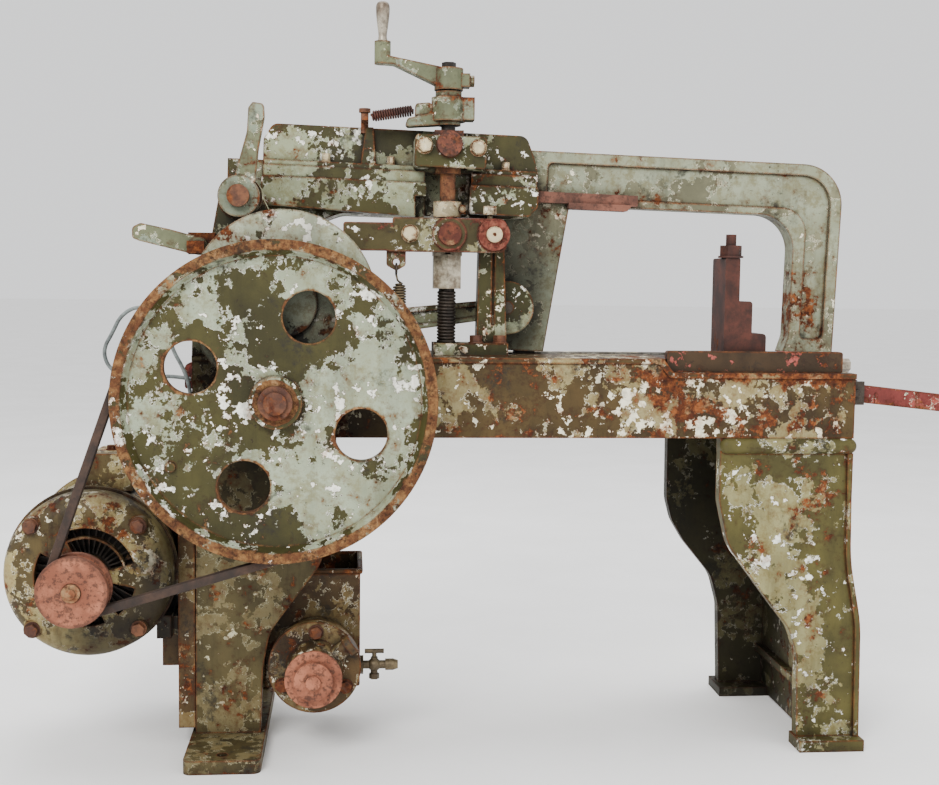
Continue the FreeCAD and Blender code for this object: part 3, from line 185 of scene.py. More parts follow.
class Graph:
    """A material under construction, with object coordinates shifted by its own offset."""

    def __init__(self, name, offset=0.0):
        self.material = bpy.data.materials.new(name)
        self.material.use_nodes = True
        self.nodes = self.material.node_tree.nodes
        self.links = self.material.node_tree.links
        self.shader = self.nodes["Principled BSDF"]
        self.raw_place = self.nodes.new("ShaderNodeTexCoord").outputs["Object"]
        self.place = self.vector("ADD", self.raw_place, (offset, offset * 0.7, -offset * 0.4)).outputs[0]

    def put(self, socket, value):
        """Link a node's output to a socket, or set the socket to a plain value."""
        if isinstance(value, bpy.types.NodeSocket):
            self.links.new(value, socket)
        else:
            socket.default_value = value

    def vector(self, operation, first, second=None):
        """Vector arithmetic on an output and, for most operations, a fixed vector."""
        node = self.nodes.new("ShaderNodeVectorMath")
        node.operation = operation
        self.links.new(first, node.inputs[0])
        if second is not None:
            node.inputs[1].default_value = second
        return node

    def noise(self, scale, detail=8.0, roughness=0.6, distortion=0.0, stretch=None):
        """Cloudy noise from 0 to 1, mostly near 0.5."""
        node = self.nodes.new("ShaderNodeTexNoise")
        place = self.vector("MULTIPLY", self.place, stretch).outputs[0] if stretch else self.place
        self.links.new(place, node.inputs["Vector"])
        node.inputs["Scale"].default_value = scale
        node.inputs["Detail"].default_value = detail
        node.inputs["Roughness"].default_value = roughness
        node.inputs["Distortion"].default_value = distortion
        return node.outputs["Fac"]

    def step(self, value, low, high):
        """0 below low, 1 above high, smooth between."""
        node = self.nodes.new("ShaderNodeMapRange")
        node.interpolation_type = "SMOOTHSTEP"
        self.put(node.inputs["Value"], value)
        self.put(node.inputs["From Min"], low)
        self.put(node.inputs["From Max"], high)
        return node.outputs["Result"]

    def calc(self, operation, first, second=0.0, clamp=False):
        """Arithmetic on outputs or plain numbers."""
        node = self.nodes.new("ShaderNodeMath")
        node.operation = operation
        node.use_clamp = clamp
        self.put(node.inputs[0], first)
        self.put(node.inputs[1], second)
        return node.outputs[0]

    def plus(self, first, second, clamp=False):
        return self.calc("ADD", first, second, clamp)

    def minus(self, first, second, clamp=False):
        return self.calc("SUBTRACT", first, second, clamp)

    def times(self, first, second):
        return self.calc("MULTIPLY", first, second)

    def blend(self, factor, first, second, mode="MIX"):
        """first where factor is 0, second where it is 1."""
        node = self.nodes.new("ShaderNodeMix")
        node.data_type = "RGBA"
        node.blend_type = mode
        self.put(node.inputs["Factor"], factor)
        self.put(node.inputs[MIX_FIRST], first)
        self.put(node.inputs[MIX_SECOND], second)
        return node.outputs[MIX_RESULT]

    def tint(self, factor, colour, film):
        """Colour seen through a film of another, by the factor."""
        return self.blend(factor, colour, self.blend(1.0, colour, film, "MULTIPLY"))

    def edges(self, radius=0.005):
        """1 on convex and concave edges, 0 on flat faces."""
        rounded = self.nodes.new("ShaderNodeBevel")
        rounded.samples = 4
        rounded.inputs["Radius"].default_value = radius
        flat = self.nodes.new("ShaderNodeNewGeometry")
        dot = self.nodes.new("ShaderNodeVectorMath")
        dot.operation = "DOT_PRODUCT"
        self.links.new(rounded.outputs["Normal"], dot.inputs[0])
        self.links.new(flat.outputs["Normal"], dot.inputs[1])
        return self.step(self.minus(1.0, dot.outputs["Value"]), 0.004, 0.08)

    def corner_shade(self, distance=0.07):
        """1 in tight corners, 0 in the open, from ambient occlusion: a mask for painted shade in corners.
        """
        shelter = self.nodes.new("ShaderNodeAmbientOcclusion")
        shelter.samples = 4
        shelter.inputs["Distance"].default_value = distance
        return self.minus(1.0, self.step(shelter.outputs["AO"], 0.2, 0.85))

    def ring(self, centre, inner, outer, soft=0.003):
        """1 between two radii around an axis along Y."""
        away = self.vector("SUBTRACT", self.raw_place, centre)
        flat = self.vector("MULTIPLY", away.outputs[0], (1.0, 0.0, 1.0))
        distance = self.vector("LENGTH", flat.outputs[0]).outputs["Value"]
        inside = self.step(distance, inner - soft, inner + soft)
        return self.minus(inside, self.step(distance, outer - soft, outer + soft), clamp=True)

    def spot(self, centre, radii):
        """Soft ellipsoid, 1 in its middle, placed in the machine's own frame."""
        away = self.vector("SUBTRACT", self.raw_place, centre)
        scaled = self.vector("DIVIDE", away.outputs[0], radii)
        distance = self.vector("LENGTH", scaled.outputs[0]).outputs["Value"]
        return self.minus(1.0, self.step(distance, 0.2, 1.0))

    def spots(self, places):
        """All of some spots together."""
        total = 0.0
        for centre, radii in places:
            total = self.plus(total, self.spot(centre, radii), clamp=True)
        return total

    def raise_at(self, value, places, amount):
        """Noise raised at some places, so that more of it passes its level there."""
        return self.plus(value, self.times(self.spots(places), amount)) if places else value

    def rust(self, brown=RUST_BROWN, orange=RUST_ORANGE):
        """Mottled rust colour."""
        coarse = self.blend(self.step(self.noise(70, 12, 0.75), 0.42, 0.66), brown, orange)
        coarse = self.blend(self.step(self.noise(26, 8, 0.7), 0.56, 0.68), coarse, RUST_PALE)
        dark = self.step(self.noise(110, 8, 0.75), 0.48, 0.62)
        return self.blend(self.times(dark, 0.75), coarse, RUST_DARK)

    def finish(self, colour, roughness, height, distance=0.0007, metallic=0.0, specular=0.35):
        """Connect the parts of the surface to its shader, with height as a bump of some metres."""
        bump = self.nodes.new("ShaderNodeBump")
        bump.inputs["Strength"].default_value = 0.8
        bump.inputs["Distance"].default_value = distance
        self.put(bump.inputs["Height"], height)
        self.links.new(bump.outputs["Normal"], self.shader.inputs["Normal"])
        self.put(self.shader.inputs["Base Color"], colour)
        self.put(self.shader.inputs["Roughness"], roughness)
        self.put(self.shader.inputs["Metallic"], metallic)
        self.shader.inputs["Specular IOR Level"].default_value = specular
        return self.material


# ---------------------------------------------------------------- old paint, coat by coat
# How sharply each kind of damage ends, as a width in its noise.
FLAKE_EDGE = 0.006
CHIP_EDGE = 0.008
CHIP_HALO = 0.018
RUST_EDGE = 0.02
STAIN_WIDTH = 0.1


def two_coats(g, top, under, amount, places, rim_colour, scale):
    """Top coat flaked off the coat under it. Gives the colour, and where the under coat shows."""
    darker = dimmed(top, (0.5, 0.5, 0.5))
    colour = g.blend(g.step(g.noise(7 * scale, 8, 0.65), 0.35, 0.66), darker, top)
    flake = g.plus(g.noise(13 * scale, 9, 0.6), g.times(g.noise(70, 8, 0.7), 0.5))
    flake = g.raise_at(g.minus(flake, 0.25), places, 0.1)
    level = 0.65 - 0.3 * amount
    flaked = g.step(flake, level, level + FLAKE_EDGE)
    pale = g.step(g.noise(48 * scale, 12, 0.75), 0.38, 0.58)
    under_shade = g.blend(pale, dimmed(under, (0.66, 0.58, 0.46)), under)
    film = g.times(g.step(g.noise(24 * scale, 12, 0.78), 0.48, 0.6), 0.45)
    under_shade = g.blend(film, under_shade, dimmed(under, (0.5, 0.46, 0.34)))
    rim = g.step(flake, level - 2 * FLAKE_EDGE, level - FLAKE_EDGE)
    rim = g.times(rim, g.step(g.noise(50, 6), 0.46, 0.54))
    colour = g.blend(g.times(rim, 0.8), colour, rim_colour)
    return g.blend(flaked, colour, under_shade), flaked


def chip_coats(g, colour, amount, places, chip_colour, scale):
    """Small chips down to a pale primer, ringed with rust. Gives the colour, and where the chips are."""
    chip = g.plus(g.noise(64 * scale, 8, 0.6), g.times(g.noise(9 * scale, 5, 0.6), 0.75))
    chip = g.raise_at(g.minus(chip, 0.375), places, 0.07)
    level = 0.72 - 0.3 * amount
    chipped = g.step(chip, level, level + CHIP_EDGE)
    halo = g.minus(g.step(chip, level - CHIP_HALO, level - CHIP_EDGE), chipped, clamp=True)
    primer = g.step(g.noise(90, 6), 0.42, 0.72)
    primer = g.blend(primer, chip_colour, dimmed(chip_colour, (0.62, 0.62, 0.62)))
    colour = g.blend(g.times(halo, 0.6), colour, RUST_BROWN)
    return g.blend(chipped, colour, primer), chipped


def rust_through(g, colour, amount, places, rings, edge_rust, rust_colours, scale):
    """Rust where paint has worn away, on edges most. Gives the colour, and where the rust is."""
    wear = g.plus(g.noise(34 * scale, 12, 0.72), g.times(g.noise(6 * scale, 4), 0.4))
    wear = g.raise_at(g.minus(wear, 0.2), places, 0.1)
    for centre, inner, outer, strength in rings:
        wear = g.plus(wear, g.times(g.ring(centre, inner, outer), strength))
    wear = g.plus(wear, g.times(g.edges(), 0.2 * edge_rust))
    level = 0.74 - 0.3 * amount
    rusted = g.step(wear, level, level + RUST_EDGE)
    rust_colour = g.rust(*rust_colours)
    stain = g.step(wear, level - STAIN_WIDTH, level)
    colour = g.tint(g.times(stain, 0.5), colour, RUST_STAIN)
    colour = g.blend(rusted, colour, rust_colour)
    speck = g.step(g.noise(120, 10, 0.7), 0.63, 0.66)
    return g.blend(g.times(speck, 0.75), colour, RUST_DARK), rusted


def dirt_and_shade(g, colour, dirt, shade_places, scale):
    """Grimy streaks and sooty patches, with painted shade: darker corners, sooty patches drawn into tight
    corners, and whole places that are darker.
    """
    streak = g.step(g.noise(16, 8, 0.7, stretch=(1.0, 1.0, 0.16)), 0.46, 0.72)
    # Dirt in streaks, and painted shade in corners from ambient occlusion.
    grime_and_shade = g.calc("MAXIMUM", g.times(streak, dirt), g.times(g.corner_shade(), 0.85))
    colour = g.tint(grime_and_shade, colour, PAINT_GRIME_AND_SHADE)
    # Sooty patches, drawn a little into tight corners, where they are painted shade.
    soot_and_shade = g.plus(g.noise(11 * scale, 12, 0.72, 0.4), g.times(g.corner_shade(0.012), 0.16))
    soot_and_shade = g.step(soot_and_shade, 0.58 - 0.06 * dirt, 0.66 - 0.06 * dirt)
    soot_and_shade = g.times(soot_and_shade, g.step(g.noise(85, 8, 0.7), 0.4, 0.6))
    colour = g.blend(g.times(soot_and_shade, 0.8), colour, SOOT_AND_SHADE)
    # Painted shade over the shade places, such as the parts behind the flywheel.
    if shade_places:
        colour = g.tint(g.times(g.spots(shade_places), 0.85), colour, SHADE)
    return colour


def paint_height(g, flaked, chipped, rusted):
    """Height of the surface, lower where a coat is gone and pitted where there is rust."""
    height = g.minus(1.0, g.times(flaked, 0.3))
    height = g.minus(height, g.times(chipped, 0.35))
    height = g.minus(height, g.times(rusted, 0.5))
    height = g.plus(height, g.times(g.noise(170, 8, 0.7), g.plus(g.times(rusted, 0.8), 0.3)))
    return g.plus(height, g.times(g.noise(35, 6), 0.8))


def old_paint(name, offset, top, under, under_amount=0.5, chips=0.4, rust=0.4, chip_colour=CREAM,
              edge_rust=1.0, scale=1.0, rust_places=(), chip_places=(), under_places=(),
              shade_places=(), rings=(), dirt=0.4, rust_colours=()):
    """Coats of flaking paint over rusty cast iron, with dirt, and painted shade in corners and over the
    shade places.

    Amounts run from 0, none, to 1, everywhere. A place is a centre and the radii of an ellipsoid. A ring
    is a centre, an inner radius, an outer radius and a strength. Both are in metres.
    """
    g = Graph(name, offset)
    colour, flaked = two_coats(g, top, under, under_amount, under_places, chip_colour, scale)
    colour, chipped = chip_coats(g, colour, chips, chip_places, chip_colour, scale)
    colour, rusted = rust_through(g, colour, rust, rust_places, rings, edge_rust, rust_colours, scale)
    colour = dirt_and_shade(g, colour, dirt, shade_places, scale)
    height = paint_height(g, flaked, chipped, rusted)
    roughness = g.plus(0.5, g.times(rusted, 0.38), clamp=True)
    roughness = g.plus(roughness, g.times(g.noise(30, 6), 0.14), clamp=True)
    return g.finish(colour, roughness, height, 0.0009, specular=0.22)


def bare_metal(name, offset, bright, dull, rust=0.4, roughness=0.45, metallic=0.6, brown=RUST_BROWN,
               orange=RUST_ORANGE, scale=1.0, rust_places=(), speckle=0.4, rings=()):
    """Worn metal that is partly rusted, with painted shade in its corners."""
    g = Graph(name, offset)
    colour = g.blend(g.step(g.noise(24 * scale, 8, 0.65), 0.35, 0.7), dull, bright)
    wear = g.plus(g.noise(18 * scale, 12, 0.68, 0.4), g.times(g.edges(0.002), 0.05))
    wear = g.raise_at(wear, rust_places, 0.4)
    level = 0.78 - 0.45 * rust
    rusted = g.step(wear, level, level + 0.08)
    colour = g.blend(rusted, colour, g.rust(brown, orange))
    fleck = g.step(g.noise(140, 8, 0.72), 0.48, 0.6)
    for centre, inner, outer, strength in rings:
        fleck = g.plus(fleck, g.times(g.ring(centre, inner, outer, 0.002), strength), clamp=True)
    colour = g.blend(g.times(fleck, speckle), colour, RUST_DARK)
    # Painted shade in the corners of the metal.
    colour = g.tint(g.times(g.corner_shade(0.02), 0.7), colour, METAL_CORNER_SHADE)
    height = g.plus(g.times(g.noise(160, 8, 0.7), 0.6), g.times(rusted, 0.3))
    rough = g.plus(roughness, g.times(rusted, 0.4), clamp=True)
    metal = g.times(g.minus(1.0, rusted), metallic)
    return g.finish(colour, rough, height, 0.0005, metal)


# ---------------------------------------------------------------- places on the machine
def joint_place(name):
    """Place of a joint's axis in the record's frame, in metres."""
    joint = [found for found in frame["record"]["behaviour"]["joints"] if found["name"] == name][0]
    return Vector(joint["pos_m"])


def from_corner(node, right, up, depth):
    """Place measured from the left, front, low corner of a node's box."""
    return Vector(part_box(node)[0]) + Vector((right, depth, up))


def around(centre, *offsets_and_radii):
    """Spots for old_paint: each an offset from a centre, and the radii of its ellipsoid."""
    return tuple((centre + Vector(offset), radii) for offset, radii in offsets_and_radii)


WHEEL = joint_place("flywheel_spin")
WHEEL_HOLE_CIRCLE = 0.128
WHEEL_HOLES = tuple(WHEEL + WHEEL_HOLE_CIRCLE * Vector((math.cos(math.radians(turn)), 0.0,
                                                        math.sin(math.radians(turn))))
                    for turn in (69, 158, 249.5, 339))
# Painted shade on the parts that lie behind the flywheel, in its shadow.
SHADE_BEHIND_WHEEL = around(WHEEL, ((0.0, 0.15, 0.0), (0.30, 0.6, 0.30)))
MOTOR = joint_place("motor_spin")
HAND_LEVER_PIN = joint_place("hand_lever_swing")
RELIEF_PIN = joint_place("relief_rock")
OVERARM_PIVOT = joint_place("overarm_lift")
ROD_PIN = joint_place("rod_swing")
NUT_PIN = joint_place("nut_tilt")
NUT_FACE = NUT_PIN + Vector((0.0, -0.055, 0.0))
# An inner radius below zero, which fills a ring to its middle.
TO_AXIS = -0.01


# How far behind the front of the bed's box the middle of a spot lies.
BED_SPOT_DEPTH = 0.004


def bed_spots(*rights_ups_and_radii):
    """Spots for old_paint on the front of the bed."""
    return tuple((from_corner("bed", right, up, BED_SPOT_DEPTH), radii)
                 for right, up, radii in rights_ups_and_radii)


def leg_spot(right, up, depth, radii):
    """One spot for old_paint on the right legs."""
    return from_corner("right_legs", right, up, depth), radii


# ---------------------------------------------------------------- materials
def frame_paints(m):
    """Paint of the bed, the legs, the gear guard, the pedestals and the coolant parts, with painted shade
    behind the flywheel and on the back leg.
    """
    m["frame_paint"] = old_paint("frame_paint", 0.0, OLIVE, BLUE_GREY, 0.4, chips=0.3)
    m["bed"] = old_paint(
        "bed_paint", 1.3, srgb(76, 60, 30), srgb(146, 136, 98), 0.36, chips=0.34, rust=0.56, edge_rust=1.4,
        rust_places=bed_spots((0.7789, 0.107, (0.26, 0.05, 0.035)), (0.7289, 0.057, (0.09, 0.05, 0.03)),
                              (0.9489, 0.092, (0.10, 0.05, 0.02)), (0.8539, 0.027, (0.10, 0.05, 0.03))),
        chip_places=bed_spots((0.6289, 0.067, (0.13, 0.05, 0.04)), (0.8989, 0.067, (0.12, 0.05, 0.04)),
                              (0.7789, 0.017, (0.16, 0.05, 0.03))),
        shade_places=SHADE_BEHIND_WHEEL)
    m["right_legs"] = old_paint(
        "right_leg_paint", 2.6, srgb(84, 78, 38), srgb(140, 136, 96), 0.28, chips=0.24, rust=0.42,
        chip_colour=WHITE, edge_rust=1.5,
        under_places=(leg_spot(0.0989, 0.365, 0.022, (0.055, 0.05, 0.085)),
                      leg_spot(0.1589, 0.180, 0.022, (0.05, 0.05, 0.11))),
        # Painted shade over the back leg, which lies in shadow.
        shade_places=(leg_spot(0.1189, 0.23, 0.285, (0.5, 0.2, 0.9)),))
    m["left_leg"] = old_paint(
        "left_leg_paint", 3.9, srgb(84, 74, 44), srgb(118, 108, 76), 0.44, chips=0.16, rust=0.5,
        chip_colour=srgb(190, 184, 150), edge_rust=1.4, dirt=0.6, shade_places=SHADE_BEHIND_WHEEL)
    m["gear_guard"] = old_paint(
        "guard_paint", 5.2, OLIVE, srgb(176, 186, 164), 0.95, chips=0.3, rust=0.38, chip_colour=WHITE,
        edge_rust=1.1, shade_places=SHADE_BEHIND_WHEEL)
    m["pedestals"] = old_paint("pedestal_paint", 6.6, OLIVE, BLUE_GREY, chips=0.3, edge_rust=1.1,
                               shade_places=SHADE_BEHIND_WHEEL)
    m["coolant"] = old_paint("coolant_paint", 7.1, srgb(84, 64, 36), srgb(128, 112, 76), 0.4, chips=0.1,
                             rust=0.52, edge_rust=1.1, dirt=0.8)


def lever_paints(m):
    """Paint of the relief lever and the lever pins, and the rust of the trunnion and the guide bar."""
    m["relief_lever"] = old_paint(
        "relief_lever_paint", 10.8, srgb(72, 64, 34), srgb(140, 138, 104), 0.34, chips=0.3, rust=0.42,
        chip_colour=WHITE, edge_rust=1.3,
        rings=((NUT_FACE, 0.0225, 0.0262, 0.16), (RELIEF_PIN, TO_AXIS, 0.0245, 0.3)),
        rust_colours=(srgb(92, 44, 36), srgb(136, 82, 66)))
    m["lever_pins"] = old_paint(
        "pin_paint", 12.9, srgb(206, 190, 152), srgb(222, 206, 172), 0.4, chips=0.2, rust=0.34,
        rings=((HAND_LEVER_PIN, TO_AXIS, 0.08, 0.4), (RELIEF_PIN, TO_AXIS, 0.0025, 0.4)))
    m["trunnion"] = bare_metal(
        "trunnion_rust", 5.1, srgb(112, 60, 40), srgb(64, 34, 24), rust=0.5, roughness=0.75, metallic=0.0,
        brown=srgb(66, 34, 24), orange=srgb(124, 74, 46), scale=3.0, speckle=0.8)
    m["guide_bar"] = bare_metal(
        "guide_rust", 3.3, srgb(118, 74, 58), srgb(72, 44, 34), rust=0.3, roughness=0.75, metallic=0.0,
        brown=srgb(84, 44, 34), orange=srgb(128, 78, 56), speckle=0.6)


def arm_paints(m):
    """Paint of the overarm, the bow and what they carry, with painted shade on the bow near the rod pin."""
    m["arm_paint"] = old_paint("arm_paint", 3.1, OLIVE, BLUE_GREY, 0.42, chips=0.36, rust=0.34,
                               chip_colour=WHITE, edge_rust=1.2)
    m["overarm"] = old_paint(
        "overarm_paint", 8.4, srgb(66, 62, 30), BLUE_GREY, 0.38, chips=0.36, chip_colour=WHITE,
        under_places=around(OVERARM_PIVOT, ((0.1069, -0.057, 0.082), (0.13, 0.2, 0.05))))
    m["bow_paint"] = old_paint("bow_paint", 5.3, srgb(108, 112, 84), srgb(134, 146, 128), 0.45, chips=0.12,
                               rust=0.42, edge_rust=1.2)
    m["saw_bow"] = old_paint(
        "saw_bow_paint", 9.7, srgb(124, 122, 96), srgb(144, 150, 128), 0.66, chips=0.1, rust=0.42,
        edge_rust=1.5, dirt=0.6,
        rust_places=around(ROD_PIN, ((0.4899, 0.018, 0.001), (0.06, 0.1, 0.10))),
        # Painted shade on the bow near the rod pin.
        shade_places=around(ROD_PIN, ((0.0149, 0.038, 0.051), (0.13, 0.3, 0.19))))


def wheel_paint(m):
    """Paint of the flywheel, rusted at its rim, its hub and around its holes."""
    hole_rings = tuple((hole, TO_AXIS, 0.0405, 0.16) for hole in WHEEL_HOLES)
    m["flywheel_paint"] = old_paint(
        "flywheel_paint", 7.7, srgb(64, 60, 27), srgb(150, 160, 138), 0.38, chips=0.27, rust=0.38,
        chip_colour=WHITE, edge_rust=0.9,
        rings=((WHEEL, 0.2125, 0.30, 0.2), (WHEEL, TO_AXIS, 0.0315, 0.35)) + hole_rings,
        chip_places=around(WHEEL, ((0.0, 0.0, 0.0), (0.05, 0.1, 0.05)),
                           ((-0.03, 0.0, -0.17), (0.09, 0.1, 0.04))),
        under_places=around(WHEEL, ((0.10, -0.01, -0.02), (0.13, 0.1, 0.17))),
        rust_colours=(srgb(84, 52, 32), srgb(134, 98, 60)))


def motor_and_vise_paints(m):
    """Paint of the vise, the motor, the bolts and the red parts, and the metal of the motor's rotor. The
    motor's paint carries painted shade.
    """
    m["vise_paint"] = old_paint("vise_paint", 9.2, srgb(62, 46, 28), PINK, 0.12, chips=0.1, rust=0.5,
                                chip_colour=PINK)
    m["motor_paint"] = old_paint(
        "motor_paint", 11.9, srgb(88, 74, 42), srgb(156, 144, 100), 0.44, chips=0.14, rust=0.5, dirt=0.8,
        # Painted shade at three places on the motor, one of them over its lower part.
        shade_places=around(MOTOR, ((0.05, 0.08, -0.10), (0.17, 0.4, 0.10)),
                            ((0.11, 0.1, 0.0), (0.06, 0.4, 0.14)),
                            ((0.0, 0.12, 0.11), (0.15, 0.06, 0.06))))
    m["rotor"] = bare_metal(
        "rotor_steel", 5.7, srgb(70, 62, 54), srgb(34, 29, 26), rust=0.42, roughness=0.6, metallic=0.3,
        brown=srgb(110, 66, 42), orange=srgb(186, 150, 108), scale=2.0,
        rust_places=around(MOTOR, ((0.0, -0.03, 0.0), (0.06, 0.03, 0.06))))
    m["cream_bolts"] = old_paint("cream_bolts", 13.4, srgb(206, 192, 152), srgb(222, 210, 176), 0.4,
                                 chips=0.3, rust=0.34, scale=2.0)
    m["red_oxide"] = old_paint("red_oxide", 15.8, srgb(132, 58, 52), PINK, 0.4, chips=0.1, rust=0.45)


def rusty_metals(m):
    """Iron that is rusted all over."""
    m["rusty_iron"] = bare_metal("rusty_iron", 2.2, srgb(112, 70, 44), srgb(64, 36, 25), rust=0.6,
                                 roughness=0.65, metallic=0.1)
    m["pulley"] = bare_metal(
        "pulley_rust", 2.9, srgb(160, 100, 74), srgb(116, 66, 46), rust=0.35, roughness=0.75, metallic=0.0,
        brown=srgb(104, 58, 42), orange=srgb(160, 98, 68), speckle=0.7, rings=((MOTOR, 0.0455, 0.06, 0.6),))
    m["jaw"] = bare_metal("jaw_rust", 3.6, srgb(82, 42, 30), srgb(44, 22, 17), roughness=0.7, metallic=0.1)


def steels(m):
    """Dark, worn and bright steel, and the two parts of the lift that are steel."""
    m["dark_steel"] = bare_metal("dark_steel", 4.4, srgb(70, 62, 54), srgb(34, 29, 26), rust=0.42,
                                 roughness=0.5, metallic=0.5)
    m["worn_steel"] = bare_metal("worn_steel", 6.1, srgb(176, 168, 150), srgb(104, 90, 76), roughness=0.42,
                                 metallic=0.5)
    m["lift_nut"] = bare_metal(
        "nut_steel", 7.3, srgb(196, 188, 166), srgb(112, 98, 80), rust=0.36, roughness=0.5, metallic=0.3,
        brown=srgb(70, 34, 26), orange=srgb(122, 66, 44), scale=2.0,
        rust_places=((NUT_FACE, (0.036, 0.06, 0.036)),))
    m["lift_screw"] = bare_metal(
        "screw_steel", 4.9, srgb(70, 60, 50), srgb(30, 26, 22), rust=0.3, roughness=0.5, metallic=0.4,
        brown=srgb(92, 54, 34), orange=srgb(146, 98, 62), speckle=0.6,
        rust_places=around(NUT_PIN, ((0.0, 0.0, 0.085), (0.06, 0.06, 0.055))))
    m["bright_steel"] = bare_metal("bright_steel", 8.5, srgb(170, 168, 160), srgb(106, 102, 94), rust=0.3,
                                   roughness=0.35, metallic=0.7)


def other_materials(m):
    """Brass, belt and the sheath of the motor's lead."""
    m["worn_brass"] = bare_metal("worn_brass", 12.6, srgb(112, 98, 72), srgb(66, 56, 42), rust=0.3,
                                 roughness=0.5, metallic=0.5)
    m["belt_rubber"] = bare_metal("belt_rubber", 14.2, srgb(70, 50, 38), srgb(34, 26, 22), rust=0.12,
                                  roughness=0.75, metallic=0.0)
    m["lead_sheath"] = bare_metal("lead_sheath", 16.2, srgb(132, 140, 138), srgb(84, 90, 90), rust=0.0,
                                  roughness=0.55, metallic=0.0)


MATERIALS = {}
for add_materials in (frame_paints, lever_paints, arm_paints, wheel_paint, motor_and_vise_paints,
                      rusty_metals, steels, other_materials):
    add_materials(MATERIALS)

# A node wears the material of its own name, else the one named here, else the one of its slot.
SHARED = {"coolant_tank": "coolant", "pump_body": "coolant", "motor_bracket": "coolant",
          "motor_pulley": "pulley", "pump_pulley": "pulley", "vise_jaw": "jaw", "jaw_stud": "jaw",
          "motor_rotor": "rotor", "upper_trunnion": "trunnion", "shaft_bearings": "rusty_iron"}
SLOTS = {part["node"]: part["material_slot"] for part in frame["record"]["subparts"]}
ROUNDING = {"frame_paint": 0.003, "arm_paint": 0.003, "bow_paint": 0.0025, "vise_paint": 0.002,
            "red_oxide": 0.0015}
OTHER_ROUNDING = 0.0012
SHARP_NODES = ("saw_blade", "pinion", "crank_gear", "motor_lead")


def dress(name, piece):
    """Give a CAD node its material, chosen by its name or its slot, and, unless it is a sharp one, rounded
    edges.
    """
    slot = SLOTS[name]
    piece.data.materials.clear()
    piece.data.materials.append(MATERIALS[name if name in MATERIALS else SHARED.get(name, slot)])
    if name not in SHARP_NODES:
        add_bevel(piece, ROUNDING.get(slot, OTHER_ROUNDING))


for node_name, node_piece in frame["nodes"].items():
    dress(node_name, node_piece)

# ---------------------------------------------------------------- lead and springs
LEAD_POINTS = (
    (-0.4619, 0.007, 0.534), (-0.4639, 0.007, 0.560), (-0.4739, 0.006, 0.590), (-0.4899, 0.005, 0.618),
    (-0.4969, 0.004, 0.650), (-0.5149, 0.004, 0.678), (-0.5439, 0.004, 0.686), (-0.5689, 0.004, 0.670),
    (-0.5809, 0.005, 0.644), (-0.5959, 0.006, 0.618), (-0.5889, 0.008, 0.590), (-0.5619, 0.012, 0.573),
    (-0.5289, 0.016, 0.572), (-0.4969, 0.019, 0.578), (-0.4629, 0.019, 0.572))

LEAD_RADIUS = 0.003


def add_lead():
    """Slack loop of sheathed lead, held at both ends."""
    data = bpy.data.curves.new("motor_lead_line", "CURVE")
    data.dimensions = "3D"
    line = data.splines.new("NURBS")
    line.points.add(len(LEAD_POINTS) - 1)
    for point, place in zip(line.points, LEAD_POINTS):
        point.co = (*place, 1.0)
    line.order_u = 3
    line.use_endpoint_u = True
    line.resolution_u = 12
    data.bevel_depth = LEAD_RADIUS
    data.bevel_resolution = 5
    data.use_fill_caps = True
    lead = bpy.data.objects.new("sheathed_lead", data)
    bpy.context.scene.collection.objects.link(lead)
    data.materials.append(MATERIALS["lead_sheath"])
    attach(lead, "root")
    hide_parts("motor_lead")


def helix(start, end, radius, turns, steps=14):
    """Points of a coil around the line from start to end, closing in to the line at each end."""
    along = (end - start).normalized()
    side = along.orthogonal().normalized()
    other = along.cross(side)
    points = []
    for index in range(turns * steps + 1):
        share = index / (turns * steps)
        angle = 2 * math.pi * index / steps
        reach = radius * min(1.0, 0.35 + 12 * share, 0.35 + 12 * (1 - share))
        around_line = side * math.cos(angle) + other * math.sin(angle)
        points.append(start + (end - start) * share + around_line * reach)
    return points


SPRING_WIRE_RADIUS = 0.0016
HOOK_WIRE_RADIUS = 0.0017
HOOK_RADIUS = 0.0085
HOOK_STEPS = 24


def add_relief_spring():
    """Coil between the bed and the relief lever, and the open hook that it hangs from."""
    low, high = (Vector(corner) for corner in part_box("relief_spring"))
    middle = (low + high) / 2
    coil_x = middle.x + 0.005
    foot, top = Vector((coil_x, middle.y, low.z + 0.002)), Vector((coil_x, middle.y, high.z - 0.033))
    wire = helix(foot, top, radius=0.0088, turns=27)
    wire += [top + Vector((-0.003, 0, 0.004)), Vector((middle.x, middle.y, high.z - 0.0205))]
    tube = sweep(wire, SPRING_WIRE_RADIUS)
    spring = link_mesh("relief_coil", tube, None, MATERIALS["worn_brass"])
    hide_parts("relief_spring")
    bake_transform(spring)
    hook_middle = Vector((middle.x, middle.y, high.z - 0.0125))
    turns = (2 * math.pi * step / HOOK_STEPS for step in range(HOOK_STEPS - 2))
    loop = [hook_middle + Vector((0, math.sin(turn), -math.cos(turn))) * HOOK_RADIUS for turn in turns]
    tube = sweep(loop, HOOK_WIRE_RADIUS)
    link_mesh("relief_hook", tube, "relief_lever", MATERIALS["dark_steel"])


def add_feed_spring():
    """Coil from the pin on the overarm to the feed arm."""
    low, high = (Vector(corner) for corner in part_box("feed_spring"))
    start = Vector((low.x + 0.003, (low.y + high.y) / 2, low.z + 0.0095))
    end = Vector((high.x - 0.002, (low.y + high.y) / 2, high.z - 0.0095))
    tube = sweep(helix(start, end, radius=0.0070, turns=17), SPRING_WIRE_RADIUS)
    spring = link_mesh("feed_coil", tube, None, MATERIALS["jaw"])
    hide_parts("feed_spring")
    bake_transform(spring)


add_lead()
add_relief_spring()
add_feed_spring()

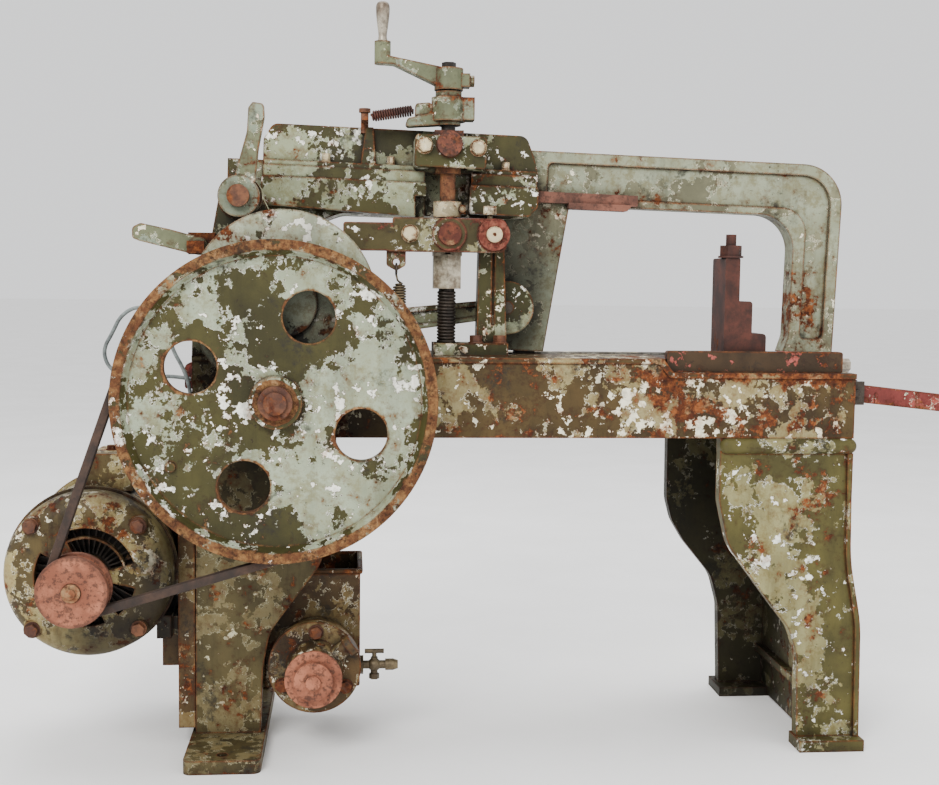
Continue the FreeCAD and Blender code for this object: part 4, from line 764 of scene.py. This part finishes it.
# ---------------------------------------------------------------- floor and light
FLOOR_SIDE, FLOOR_FRONT, FLOOR_BACK = 40, -8, 60


def add_floor():
    """Pale matt floor that runs far behind the machine."""
    builder = bmesh.new()
    corners = ((-FLOOR_SIDE, FLOOR_FRONT, 0), (FLOOR_SIDE, FLOOR_FRONT, 0),
               (FLOOR_SIDE, FLOOR_BACK, 0), (-FLOOR_SIDE, FLOOR_BACK, 0))
    builder.faces.new([builder.verts.new(corner) for corner in corners])
    mesh = bpy.data.meshes.new("floor")
    builder.to_mesh(mesh)
    builder.free()
    floor = bpy.data.objects.new("floor", mesh)
    bpy.context.scene.collection.objects.link(floor)
    g = Graph("floor")
    colour = g.blend(g.step(g.noise(3, 6), 0.3, 0.7), (0.90, 0.895, 0.885, 1.0), (0.95, 0.945, 0.94, 1.0))
    mesh.materials.append(g.finish(colour, 0.9, g.noise(60, 6), 0.0004))


def add_light(name, place, target, size, power, colour=(1.0, 1.0, 1.0)):
    """Soft rectangular light, in metres and watts, turned towards a target."""
    data = bpy.data.lights.new(name, "AREA")
    data.shape = "RECTANGLE"
    data.size, data.size_y = size
    data.energy = power
    data.color = colour
    light = bpy.data.objects.new(name, data)
    bpy.context.scene.collection.objects.link(light)
    aim = (Vector(target) - Vector(place)).to_track_quat("-Z", "Y")
    light.matrix_world = Matrix.Translation(place) @ aim.to_matrix().to_4x4()


add_floor()
add_light("key_light", (-1.6, -3.4, 3.0), (0.0, 0.0, 0.55), size=(1.8, 1.4), power=190,
          colour=(1.0, 0.985, 0.96))
add_light("fill_light", (2.8, -2.6, 1.8), (0.0, 0.0, 0.5), size=(2.4, 2.0), power=30)
add_light("top_light", (0.2, 0.6, 3.4), (0.0, 0.0, 0.6), size=(3.0, 2.4), power=95)


def add_world(colour, strength):
    """Even light from all round."""
    world = bpy.data.worlds.new("studio")
    world.use_nodes = True
    background = world.node_tree.nodes["Background"]
    background.inputs["Color"].default_value = colour
    background.inputs["Strength"].default_value = strength
    bpy.context.scene.world = world


add_world((0.985, 0.99, 1.0, 1.0), 1.25)

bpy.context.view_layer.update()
